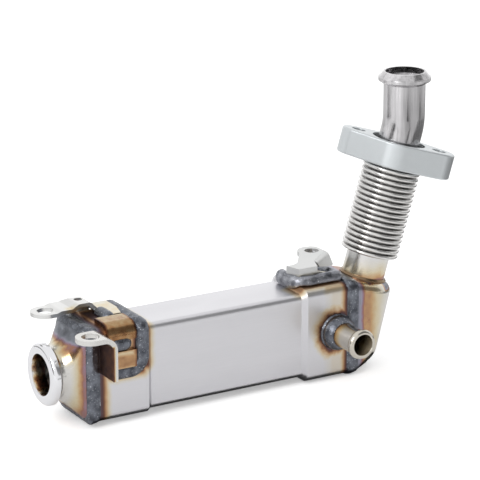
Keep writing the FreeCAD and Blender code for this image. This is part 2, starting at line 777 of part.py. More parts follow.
def folded(points, radii, place):
    """A closed wire through flat points, each corner rounded by its own radius."""
    count = len(points)
    edges = []
    joints = []
    for i in range(count):
        here = Vector(*points[i], 0)
        back = (Vector(*points[i - 1], 0) - here).normalize()
        ahead = (Vector(*points[(i + 1) % count], 0) - here).normalize()
        if not radii[i]:
            joints.append((here, here, here))
            continue
        half = back.getAngle(ahead) / 2
        reach = radii[i] / tan(half)
        centre = here + (back + ahead).normalize() * (radii[i] / sin(half))
        middle = centre + (here - centre).normalize() * radii[i]
        joints.append((here + back * reach, middle, here + ahead * reach))
    for i in range(count):
        start, middle, end = (place(p) for p in joints[i])
        if radii[i]:
            edges.append(arc(start, middle, end))
        edges.append(Part.makeLine(end, place(joints[(i + 1) % count][0])))
    return Part.Wire(edges)


def bent_strip(path, gauge, bend, place):
    """A wire round a strip of sheet whose underside follows the flat path, left to right."""
    under, over, under_r, over_r = [], [], [], []
    last = len(path) - 1
    for i, point in enumerate(path):
        here = Vector(*point, 0)
        before = (here - Vector(*path[i - 1], 0)).normalize() if i else None
        after = (Vector(*path[i + 1], 0) - here).normalize() if i < last else None
        one = before or after
        two = after or before
        normal = (Vector(-one.y, one.x, 0) + Vector(-two.y, two.x, 0)).normalize()
        reach = gauge / normal.dot(Vector(-one.y, one.x, 0))
        lifted = here + normal * reach
        under.append(point)
        over.append((lifted.x, lifted.y))
        turn = one.cross(two).z
        plain = i in (0, last) or abs(turn) < 0.001
        under_r.append(0 if plain else bend + (gauge if turn > 0 else 0))
        over_r.append(0 if plain else bend + (gauge if turn < 0 else 0))
    return folded(under + over[::-1], under_r + over_r[::-1], place)


def stadium_end(centre_x, centre_y, radius, tail):
    """A flat lug outline: a half round at its left, and straight sides as long as its tail."""
    top = Vector(centre_x, centre_y + radius, 0)
    foot = Vector(centre_x, centre_y - radius, 0)
    far_top = Vector(centre_x + tail, centre_y + radius, 0)
    far_foot = Vector(centre_x + tail, centre_y - radius, 0)
    return Part.Wire([
        arc(foot, Vector(centre_x - radius, centre_y, 0), top),
        Part.makeLine(top, far_top),
        Part.makeLine(far_top, far_foot),
        Part.makeLine(far_foot, foot),
    ])


def upper_bracket_path():
    """The underside of the upper bracket from its lug to its foot, as x and z."""
    over_seam = CASE_START - SEAM_WIDTH / 2 - UPPER_GAUGE
    pad_end = UPPER_PAD_START + UPPER_PAD_LENGTH
    return [
        (UPPER_LUG_X - UPPER_LUG_R, TOP + UPPER_LUG_RISE),
        (over_seam, TOP + UPPER_LUG_RISE),
        (over_seam + PLATE, TOP + UPPER_JOGGLE_RISE),
        (UPPER_PAD_START - UPPER_STEP, TOP + UPPER_JOGGLE_RISE),
        (UPPER_PAD_START, TOP + UPPER_PAD_RISE),
        (pad_end, TOP + UPPER_PAD_RISE),
        (pad_end + UPPER_PAD_RISE, TOP),
        (UPPER_FOOT_END, TOP),
    ]


def make_upper_bracket():
    """The stepped strip with a round lug, a raised pad and a foot on the casing."""
    side = bent_strip(upper_bracket_path(), UPPER_GAUGE, BEND_R, lambda p: Vector(p.x, 0, p.y))
    strip = Part.Face(side).extrude(Vector(0, 2 * UPPER_LUG_R, 0))
    strip.translate(Vector(0, UPPER_LUG_Y - UPPER_LUG_R, 0))
    tail = UPPER_FOOT_END - UPPER_LUG_X
    outline = Part.Face(stadium_end(UPPER_LUG_X, UPPER_LUG_Y, UPPER_LUG_R, tail))
    strip = strip.common(outline.extrude(Vector(0, 0, BIG)))
    far = UPPER_LUG_Y + UPPER_LUG_R
    begin = UPPER_PAD_START - UPPER_STEP
    narrow = plate([
        Vector(begin, far, 0),
        Vector(UPPER_PAD_START, far - UPPER_NARROW, 0),
        Vector(UPPER_FOOT_END + 1, far - UPPER_NARROW, 0),
        Vector(UPPER_FOOT_END + 1, far + 1, 0),
        Vector(begin, far + 1, 0),
    ], Vector(0, 0, BIG))
    near = UPPER_LUG_Y - UPPER_LUG_R
    wing = plate([
        Vector(UPPER_FOOT_END - UPPER_WING_LENGTH, near, TOP),
        Vector(UPPER_FOOT_END, near, TOP),
        Vector(UPPER_FOOT_END - UPPER_WING / 4, near - UPPER_WING, TOP),
        Vector(UPPER_FOOT_END - UPPER_WING_LENGTH, near - UPPER_WING, TOP),
    ], Vector(0, 0, UPPER_GAUGE))
    rear = far - UPPER_NARROW - UPPER_GAUGE
    under = [Vector(x, rear, z + UPPER_GAUGE / 2) for x, z in upper_bracket_path()[4:7]]
    low = TOP - FLARE_CORNER
    feet = [Vector(under[-1].x, rear, low), Vector(under[0].x, rear, low)]
    wall = plate(under + feet, Vector(0, UPPER_GAUGE, 0)).cut(casing_block())
    strip = strip.cut(narrow).fuse([wing, wall]).removeSplitter()
    hole = Part.makeCylinder(UPPER_HOLE_R, BIG, Vector(UPPER_LUG_X, UPPER_LUG_Y, 0))
    pad_x = UPPER_PAD_START + UPPER_PAD_LENGTH / 2
    pad_hole = Part.makeCylinder(UPPER_PAD_HOLE_R, BIG, Vector(pad_x, UPPER_LUG_Y, 0))
    return strip.cut(hole).cut(pad_hole)


def make_side_bracket():
    """The plate on the casing's front, its standing leg and the lug folded from the leg's top."""
    out = FRONT - SIDE_LUG_OUT - SIDE_LUG_R
    under = TOP + SIDE_TOP_RISE - PLATE
    lug_path = [
        (SIDE_LUG_X - SIDE_LUG_R, under),
        (SIDE_LEG_X, under),
        (SIDE_LEG_X, SIDE_PLATE_FOOT - SIDE_LEG_BELOW),
    ]
    side = bent_strip(lug_path, PLATE, SIDE_BEND_R, lambda p: Vector(p.x, 0, p.y))
    arm = Part.Face(side).extrude(Vector(0, FRONT - out, 0))
    arm.translate(Vector(0, out, 0))
    lug_y = FRONT - SIDE_LUG_OUT
    beyond = SIDE_LEG_X + PLATE + 1
    outline = Part.Face(stadium_end(SIDE_LUG_X, lug_y, SIDE_LUG_R, beyond - SIDE_LUG_X))
    corner = plate([
        Vector(SIDE_LUG_X, lug_y + SIDE_LUG_R, 0),
        Vector(beyond, FRONT - SIDE_LUG_CLEAR, 0),
        Vector(beyond, lug_y, 0),
        Vector(SIDE_LUG_X, lug_y, 0),
    ], Vector(0, 0, BIG))
    lug = outline.extrude(Vector(0, 0, BIG)).fuse(corner)
    leg = Part.makeBox(PLATE, BIG, under - SIDE_BEND_R, Vector(SIDE_LEG_X, -BIG / 2, 0))
    arm = arm.common(lug.fuse(leg))
    arm = arm.cut(Part.makeCylinder(SIDE_HOLE_R, BIG, Vector(SIDE_LUG_X, lug_y, 0)))
    base = Part.makeBox(
        SIDE_PLATE_LENGTH, PLATE, SIDE_PLATE_HEIGHT,
        Vector(SIDE_LEG_X + PLATE, FRONT - PLATE, SIDE_PLATE_FOOT),
    )
    return arm.fuse(base).removeSplitter()


def make_saddle():
    """The plate bent over the casing's corner, from its top down its front."""
    inner = FLARE_CORNER
    end = FRONT + SADDLE_TOP
    path = [(FRONT, SADDLE_FOOT), (FRONT, TOP), (end, TOP)]
    outer = [(end, TOP + PLATE), (FRONT - PLATE, TOP + PLATE), (FRONT - PLATE, SADDLE_FOOT)]
    radii = [0, inner, 0, 0, inner + PLATE, 0]
    wire = folded(path + outer, radii, lambda p: Vector(SADDLE_START, p.x, p.y))
    return Part.Face(wire).extrude(Vector(SADDLE_LENGTH, 0, 0))


def outlet_lug():
    """The centre of the outlet bracket's lug, in plan."""
    return Vector(CASE_END - OUTLET_LUG_FROM_END, OUTLET_LUG_BACK, 0)


def outlet_fold():
    """The near end of the outlet bracket's fold, its run and its way down, in plan."""
    turn = radians(OUTLET_TONGUE_TURN)
    run = Vector(cos(turn), sin(turn), 0)
    down = Vector(sin(turn), -cos(turn), 0)
    tip = outlet_lug() + down * OUTLET_FOLD_FROM_LUG + run * OUTLET_TONGUE_PAST
    return tip - run * OUTLET_TONGUE_LENGTH, run, down


def outlet_plate_outline():
    """The outlet bracket's plan: a base, and a lug that slants to the back."""
    left = CASE_END - OUTLET_PLATE_START
    lug = outlet_lug()
    fold, run, down = outlet_fold()
    tip = fold + run * OUTLET_TONGUE_LENGTH
    end = Vector(left - PLATE, OUTLET_PLATE_FRONT + OUTLET_PLATE_DEPTH, 0)
    near = Vector(fold.x - OUTLET_SLIT - PLATE, OUTLET_PLATE_FRONT, 0)
    waist = Vector(left + OUTLET_WAIST_X, OUTLET_PLATE_FRONT + OUTLET_WAIST_Y, 0)
    rim = lug - Vector(OUTLET_LUG_R, 0, 0)
    crown = lug - down * OUTLET_LUG_R
    shoulder = lug + run * OUTLET_LUG_R
    sag = (waist + end) * 0.5 + down * (OUTLET_SLIT * 2)
    return Part.Wire([
        Part.makeLine(Vector(left, OUTLET_PLATE_FRONT, 0), near),
        Part.makeLine(near, fold),
        Part.makeLine(fold, tip),
        Part.makeLine(tip, shoulder),
        arc(shoulder, crown, rim),
        Part.makeLine(rim, waist),
        arc(waist, sag, end),
        Part.makeLine(end, Vector(left, OUTLET_PLATE_FRONT, 0)),
    ])


def make_outlet_bracket():
    """The raised plate with its lug, its tongue and the two walls that it stands on."""
    level = TOP + OUTLET_BRACKET_RISE - PLATE
    fold, run, down = outlet_fold()
    sheet = Part.Face(outlet_plate_outline()).extrude(Vector(0, 0, PLATE))
    sheet.translate(Vector(0, 0, level))
    path = [(-2 * BEND_R, level), (0, level), (OUTLET_TONGUE_OUT, level + PLATE - OUTLET_TONGUE_DROP)]
    side = bent_strip(path, PLATE, BEND_R, lambda p: fold + down * p.x + Vector(0, 0, p.y))
    tongue = Part.Face(side).extrude(run * OUTLET_TONGUE_LENGTH)
    near = fold - down * BIG + Vector(0, 0, level + PLATE)
    far = near + run * OUTLET_TONGUE_LENGTH
    slant = plate([
        near,
        far,
        far - Vector(0, 0, OUTLET_TONGUE_DROP),
        near - Vector(0, 0, OUTLET_TONGUE_NEAR),
    ], down * 2 * BIG)
    tongue = tongue.common(slant)
    left = CASE_END - OUTLET_PLATE_START
    front = plate([
        Vector(left, OUTLET_PLATE_FRONT, TOP),
        Vector(left, OUTLET_PLATE_FRONT, level),
        Vector(left + OUTLET_WALL_LEVEL, OUTLET_PLATE_FRONT, level),
        Vector(left + OUTLET_WALL_LENGTH, OUTLET_PLATE_FRONT, TOP + OUTLET_WALL_END),
        Vector(left + OUTLET_WALL_LENGTH, OUTLET_PLATE_FRONT, TOP),
    ], Vector(0, PLATE, 0))
    end = plate([
        Vector(left, OUTLET_PLATE_FRONT, TOP),
        Vector(left + PLATE, OUTLET_PLATE_FRONT, TOP),
        Vector(left, OUTLET_PLATE_FRONT + OUTLET_PLATE_DEPTH, TOP),
        Vector(left - PLATE, OUTLET_PLATE_FRONT + OUTLET_PLATE_DEPTH, TOP),
    ], Vector(0, 0, level - TOP))
    body = sheet.fuse([tongue, front, end.cut(casing_block())]).removeSplitter()
    return body.cut(Part.makeCylinder(OUTLET_HOLE_R, BIG, outlet_lug()))


def bead_size(width, height):
    """The radius of a round bead, and how deep its axis lies, for its width and height."""
    radius = (width * width / 4 + height * height) / (2 * height)
    return radius, radius - height


def bead_along(edges, radius):
    """A round bar swept along edges that meet smoothly, with ball ends."""
    path = Part.Wire(edges)
    begin = edges[0].valueAt(edges[0].FirstParameter)
    close = edges[-1].valueAt(edges[-1].LastParameter)
    heading = edges[0].tangentAt(edges[0].FirstParameter)
    bar = path.makePipeShell([Part.Wire(Part.makeCircle(radius, begin, heading))], True, True)
    return bar.fuse([Part.makeSphere(radius, begin), Part.makeSphere(radius, close)])


def make_hook_weld():
    """The bead from the casing's top, down its front and under the side bracket's plate."""
    radius, depth = bead_size(BEAD_WIDTH, BEAD_HEIGHT)
    x = SADDLE_START + SADDLE_LENGTH + BEAD_WIDTH / 2
    foot = SIDE_PLATE_FOOT - HOOK_BELOW_PLATE
    top, front = TOP - depth, FRONT + depth
    bend = FLARE_CORNER - depth
    over = Vector(x, front + bend, top)
    under = Vector(x, front, top - bend)
    knee = Vector(x, front + bend * (1 - cos(radians(45))), top - bend * (1 - cos(radians(45))))
    turn = Vector(x, front, foot + HOOK_TURN_R)
    turned_out = Vector(x - HOOK_TURN_R, front, foot)
    elbow = turned_out + Vector(HOOK_TURN_R * sin(radians(45)), 0, HOOK_TURN_R * (1 - cos(radians(45))))
    bar = bead_along([
        Part.makeLine(Vector(x, HOOK_BACK, top), over),
        arc(over, knee, under),
        Part.makeLine(under, turn),
        arc(turn, elbow, turned_out),
        Part.makeLine(turned_out, Vector(HOOK_END, front, foot)),
    ], radius)
    bar = bar.cut(casing_block()).cut(make_saddle())
    return biggest(bar.cut(make_side_bracket()).cut(make_upper_bracket()))


def make_upper_weld():
    """The bead along the left edge of the upper bracket's foot, past the saddle plate."""
    x = UPPER_FOOT_END - UPPER_WING_LENGTH - PLATE / 2
    begin = FRONT + SADDLE_TOP + UPPER_WELD_R
    end = UPPER_LUG_Y - UPPER_LUG_R - UPPER_WING / 2 + UPPER_WELD_R
    run = [Part.makeLine(Vector(x, begin, TOP), Vector(x, end, TOP))]
    bar = bead_along(run, UPPER_WELD_R)
    return biggest(bar.cut(casing_block()).cut(make_saddle()).cut(make_upper_bracket()))


def make_side_weld():
    """The bead between the saddle plate and the side bracket's plate."""
    z = SADDLE_FOOT - SIDE_WELD_BELOW
    x = SIDE_LEG_X + SIDE_PLATE_LENGTH / 2
    run = [Part.makeLine(Vector(x, FRONT, z), Vector(x + 2 * PLATE, FRONT, z))]
    bar = bead_along(run, SIDE_PLATE_BELOW - SIDE_WELD_BELOW + SIDE_WELD_BITE)
    return biggest(bar.cut(casing_block()).cut(make_saddle()).cut(make_side_bracket()))


def make_outlet_bracket_weld():
    """The bead round the outlet bracket's foot, down its left side and along its front."""
    radius, depth = bead_size(OUTLET_WELD_WIDTH, OUTLET_WELD_HEIGHT)
    left = CASE_END - OUTLET_PLATE_START - PLATE / 2
    y, z = OUTLET_PLATE_FRONT - PLATE / 2, TOP - depth
    turn = OUTLET_WELD_WIDTH
    knee = turn * (1 - cos(radians(45)))
    end = left + OUTLET_WALL_LENGTH
    bar = bead_along([
        Part.makeLine(Vector(left, y + OUTLET_WELD_BACK, z), Vector(left, y + turn, z)),
        arc(Vector(left, y + turn, z), Vector(left + knee, y + knee, z), Vector(left + turn, y, z)),
        Part.makeLine(Vector(left + turn, y, z), Vector(end, y, z)),
    ], radius)
    return biggest(bar.cut(casing_block()).cut(make_outlet_bracket()).cut(make_outlet_seam()))


def biggest(shape):
    """The largest solid that a cut leaves."""
    return max(shape.Solids, key=lambda solid: solid.Volume)


def main():
    """Builds every piece and writes each to its own file."""
    os.makedirs("parts", exist_ok=True)
    export("outer_casing", make_casing())
    export("inlet_tube_sheet", make_tube_sheet(inlet_section, CASE_START + SHEET_INSET))
    outlet_sheet = make_tube_sheet(outlet_section, CASE_END - SHEET_INSET - SHEET_THICK)
    export("outlet_tube_sheet", outlet_sheet)
    for number, y in enumerate(tube_rows(), 1):
        export("gas_tube_%d" % number, make_tube(y))
        export("gas_strip_%d" % number, make_strip(y))
    export("coolant_baffle_1", make_baffle(1 / 3, 1))
    export("coolant_baffle_2", make_baffle(2 / 3, -1))
    export("inlet_flange", make_inlet_flange())
    export("inlet_diffuser", make_diffuser())
    export("inlet_seam_weld", make_inlet_seam())
    export("outlet_header", make_header())
    export("outlet_seam_weld", make_outlet_seam())
    export("bellows", make_bellows())
    export("bellows_weld", make_cuff_weld())
    export("oval_flange", make_oval_flange())
    export("outlet_pipe", make_pipe())
    export("pipe_weld", make_pipe_weld())
    for side, (x, z, y), reach in zip(("front", "rear"), stub_places(), (STUB_REACH, REAR_STUB_REACH)):
        export("coolant_stub_" + side, make_stub(x, z, y, reach))
        export("coolant_weld_" + side, make_stub_weld(x, z, y))
    export("upper_bracket", make_upper_bracket())
    export("upper_bracket_weld", make_upper_weld())
    export("side_bracket", make_side_bracket())
    export("side_bracket_weld", make_side_weld())
    export("saddle_plate", make_saddle())
    export("saddle_weld", make_hook_weld())
    export("outlet_bracket", make_outlet_bracket())
    export("outlet_bracket_weld", make_outlet_bracket_weld())


main()
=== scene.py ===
"""Dresses the exhaust gas cooler: brushed casing, tinted caps, weld beads, bellows and pipe."""

import json
import logging
import math
from dataclasses import dataclass, field
from enum import Enum

import bpy
from mathutils import Matrix, Vector


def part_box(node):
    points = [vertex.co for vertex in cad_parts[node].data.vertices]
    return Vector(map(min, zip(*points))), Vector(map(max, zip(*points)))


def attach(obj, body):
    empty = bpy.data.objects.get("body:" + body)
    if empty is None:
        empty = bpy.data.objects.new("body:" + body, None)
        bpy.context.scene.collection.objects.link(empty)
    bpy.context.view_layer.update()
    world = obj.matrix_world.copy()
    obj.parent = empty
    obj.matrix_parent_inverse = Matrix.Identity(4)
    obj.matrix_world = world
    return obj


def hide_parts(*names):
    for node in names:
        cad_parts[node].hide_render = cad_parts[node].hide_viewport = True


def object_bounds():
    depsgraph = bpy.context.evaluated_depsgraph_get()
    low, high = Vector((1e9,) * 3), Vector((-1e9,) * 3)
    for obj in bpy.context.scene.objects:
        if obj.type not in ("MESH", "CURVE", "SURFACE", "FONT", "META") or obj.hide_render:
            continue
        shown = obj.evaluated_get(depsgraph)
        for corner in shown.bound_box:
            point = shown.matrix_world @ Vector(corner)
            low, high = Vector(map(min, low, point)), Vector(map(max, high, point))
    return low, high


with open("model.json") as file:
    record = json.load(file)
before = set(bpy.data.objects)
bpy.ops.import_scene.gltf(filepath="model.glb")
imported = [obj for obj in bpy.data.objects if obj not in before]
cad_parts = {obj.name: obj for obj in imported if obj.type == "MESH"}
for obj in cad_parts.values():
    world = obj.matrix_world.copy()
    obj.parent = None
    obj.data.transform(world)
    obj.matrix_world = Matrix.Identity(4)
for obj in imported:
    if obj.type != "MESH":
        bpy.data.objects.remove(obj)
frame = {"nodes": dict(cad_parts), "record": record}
CAD_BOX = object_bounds()
LOG = logging.getLogger("cooler")
MM = 0.001
BODY = "root"

Triple = tuple[float, float, float]
Pair = tuple[float, float]
Profile = list[Pair]
Node = bpy.types.Node
NodeTree = bpy.types.NodeTree
Socket = bpy.types.NodeSocket
Sockets = bpy.types.bpy_prop_collection
Material = bpy.types.Material


class Use(Enum):
    """What a studio board does to reflections."""

    DARKEN = "darken"
    SHADE = "shade"
    BRIGHTEN = "brighten"


class Temper(Enum):
    """How a steel colours with heat: through brown to scorched, or on to lilac and blue."""

    SCORCHED = "scorched"
    RAINBOW = "rainbow"


BOARD_TONES = {Use.DARKEN: 0.03, Use.SHADE: 0.22, Use.BRIGHTEN: 1.2}


@dataclass(frozen=True)
class HeatZone:
    """A patch of heat tint round a weld, hottest inside its box and fading over its reach. The side
    leg's patch is also painted shade.

    Places and sizes are in millimetres, in the part's frame.
    """

    centre: Triple
    half: Triple
    reach: float
    peak: float


@dataclass(frozen=True)
class Steel:
    """A stainless finish: its colour, its gloss, how its grain runs and where it is tinted.

    The grain is stretched along the axes where its value is small. Streak, smudge and band are how
    strongly fine lines, soft clouds and broad bands show. Groove shade is painted shade: the share
    of its colour that the bottoms of the bellows' grooves keep, or 0 for a piece without grooves.
    Patchy breaks up the heat tint.
    """

    name: str
    colour: Triple
    roughness: float
    grain: Triple = (1.0, 1.0, 1.0)
    grain_size: float = 300.0
    grain_depth: float = 0.15
    streak: float = 0.03
    smudge: float = 0.08
    band: float = 0.0
    anisotropy: float = 0.0
    metallic: float = 1.0
    groove_shade: float = 0.0
    patchy: float = 0.0
    temper: Temper = Temper.SCORCHED
    zones: tuple[HeatZone, ...] = ()


@dataclass(frozen=True)
class WeldSteel:
    """A weld bead's finish: dark grey-blue scale, painted glints as bright flecks, and ripples."""

    name: str
    dark: Triple
    light: Triple
    glint_fleck: Triple
    bump: float = 0.6
    bump_depth: float = 0.3


@dataclass(frozen=True)
class Pattern:
    """A noise pattern: its scale per metre, its detail, and how its value is stretched."""

    scale: float
    detail: float = 3.0
    slope: float = 1.0
    start: float = 0.0


# Surface patterns and how strongly they work. Noise is read about its middle where it both
# lightens and darkens.
NOISE_MIDDLE = 0.5
HEAT_WANDER = Pattern(160.0, 3.0, 0.6, -0.3)
HEAT_WANDER_LIMIT = 0.6
HEAT_DULLS = 0.12
HEAT_PATCHES = Pattern(230.0)
SMUDGES = Pattern(45.0, 2.0)
BANDS = Pattern(130.0, 2.0)
BAND_STRETCH = (0.3, 1.0, 1.0)
LINE_DETAIL = 2.0
SHADE_TO_ROUGHNESS = 0.3
GRAIN_BUMP_DEPTH = 0.05
SCALE_DRIFT = Pattern(210.0, 3.0, 2.4, -0.75)
# Bright flecks that paint the glints on a bead's scale.
SCALE_GLINTS = Pattern(1100.0, 2.0, 9.0, -5.7)
SCALE_RIPPLE = Pattern(520.0, 3.0)
SCALE_ROUGH_SWING = 0.3
SCALE_ROUGH_LEAST = 0.22
# These two shape the mask of the painted shade in the bellows' grooves.
GROOVE_FLOOR = 0.10
GROOVE_SLOPE = 2.2
# The Mix node's colour sockets go by number, since they share their names with its other ones.
MIX_FIRST, MIX_SECOND, MIX_RESULT = 6, 7, 2
# What heat multiplies the steel's colour by, from cold to hottest.
TEMPER_STOPS = {
    Temper.SCORCHED: (
        (0.0, (1.0, 1.0, 1.0)),
        (0.12, (1.0, 0.97, 0.88)),
        (0.28, (0.97, 0.82, 0.56)),
        (0.42, (0.74, 0.45, 0.24)),
        (0.53, (0.32, 0.16, 0.10)),
        (0.62, (0.16, 0.09, 0.08)),
        (0.74, (0.22, 0.17, 0.20)),
        (0.86, (0.32, 0.34, 0.41)),
        (1.0, (0.24, 0.26, 0.30)),
    ),
    Temper.RAINBOW: (
        (0.0, (1.0, 1.0, 1.0)),
        (0.12, (1.0, 0.97, 0.88)),
        (0.28, (0.95, 0.84, 0.60)),
        (0.40, (0.80, 0.52, 0.28)),
        (0.50, (0.52, 0.27, 0.20)),
        (0.60, (0.46, 0.32, 0.42)),
        (0.70, (0.50, 0.49, 0.62)),
        (0.82, (0.36, 0.39, 0.46)),
        (1.0, (0.20, 0.21, 0.25)),
    ),
}


def add_socket(group: NodeTree, name: str, way: str, kind: str) -> None:
    """Adds one socket to a node group.

    Args:
        group: the node group.
        name: the socket's name.
        way: INPUT or OUTPUT.
        kind: Float, Vector or Color.
    """
    group.interface.new_socket(name=name, in_out=way, socket_type="NodeSocket" + kind)


class NodeBench:
    """Lays out nodes in one tree, with short calls for the ones that this object needs."""

    def __init__(self, tree: NodeTree) -> None:
        """Keeps the tree."""
        self.tree = tree

    def add(self, kind: str, **settings: object) -> Node:
        """Adds a node and sets its properties.

        Args:
            kind: the node's type, without the ShaderNode prefix.
            settings: the node's properties.

        Returns:
            The new node.
        """
        prefix = "" if kind.startswith("Node") else "ShaderNode"
        node = self.tree.nodes.new(prefix + kind)
        for key, value in settings.items():
            setattr(node, key, value)
        return node

    def link(self, source: Socket, target: Socket) -> None:
        """Joins two sockets."""
        self.tree.links.new(source, target)

    def feed(self, target: Socket, value: object) -> None:
        """Sets a socket from another socket, a number or a row of numbers."""
        if isinstance(value, Socket):
            self.link(value, target)
        else:
            target.default_value = value

    def maths(self, operation: str, *values: object, clamp: bool = False) -> Socket:
        """A Math node's result.

        Args:
            operation: the node's operation.
            values: sockets or numbers for its inputs.
            clamp: whether the result is kept between 0 and 1.

        Returns:
            The output socket.
        """
        node = self.add("Math", operation=operation, use_clamp=clamp)
        for target, value in zip(node.inputs, values):
            self.feed(target, value)
        return node.outputs[0]

    def vector(self, operation: str, *values: object) -> Node:
        """A Vector Math node, fed in order."""
        node = self.add("VectorMath", operation=operation)
        for target, value in zip(node.inputs, values):
            self.feed(target, value)
        return node

    def mix(self, blend: str, factor: object, one: object, two: object) -> Socket:
        """A colour mix.

        Args:
            blend: the blend type.
            factor: how much of the second colour is taken.
            one: the first colour.
            two: the second colour.

        Returns:
            The mixed colour's socket.
        """
        node = self.add("Mix", data_type="RGBA", blend_type=blend)
        self.feed(node.inputs["Factor"], factor)
        self.feed(node.inputs[MIX_FIRST], one)
        self.feed(node.inputs[MIX_SECOND], two)
        return node.outputs[MIX_RESULT]

    def noise(self, vector: object, scale: object, detail: float) -> Socket:
        """A noise texture's value."""
        node = self.add("TexNoise")
        self.feed(node.inputs["Vector"], vector)
        self.feed(node.inputs["Scale"], scale)
        node.inputs["Detail"].default_value = detail
        return node.outputs["Fac"]

    def pattern(self, vector: object, pattern: Pattern) -> Socket:
        """A pattern's plain value."""
        return self.noise(vector, pattern.scale, pattern.detail)

    def swing(self, vector: object, pattern: Pattern) -> Socket:
        """A pattern's value about 0."""
        return self.maths("SUBTRACT", self.pattern(vector, pattern), NOISE_MIDDLE)

    def sloped(self, value: Socket, pattern: Pattern, clamp: bool = False) -> Socket:
        """A pattern's value, steepened and shifted as the pattern says."""
        return self.maths("MULTIPLY_ADD", value, pattern.slope, pattern.start, clamp=clamp)

    def ramp(self, value: Socket, stops: tuple) -> Socket:
        """A colour ramp through the stops.

        Args:
            value: what runs along the ramp.
            stops: pairs of a place from 0 to 1 and a colour.

        Returns:
            The colour's socket.
        """
        node = self.add("ValToRGB")
        line = node.color_ramp.elements
        while len(line) < len(stops):
            line.new(1.0)
        for element, (place, colour) in zip(line, stops):
            element.position = place
            element.color = (*colour, 1.0)
        self.link(value, node.inputs["Fac"])
        return node.outputs["Color"]


def new_group(
    name: str, inputs: dict[str, str], outputs: dict[str, str]
) -> tuple[NodeTree, NodeBench, Sockets, Sockets]:
    """Starts a shader node group.

    Args:
        name: the group's name.
        inputs: input names and kinds.
        outputs: output names and kinds.

    Returns:
        The group, a bench for it, what it is given and what it results in.
    """
    group = bpy.data.node_groups.new(name, "ShaderNodeTree")
    for key, kind in inputs.items():
        add_socket(group, key, "INPUT", kind)
    for key, kind in outputs.items():
        add_socket(group, key, "OUTPUT", kind)
    bench = NodeBench(group)
    given, result = bench.add("NodeGroupInput"), bench.add("NodeGroupOutput")
    return group, bench, given.outputs, result.inputs


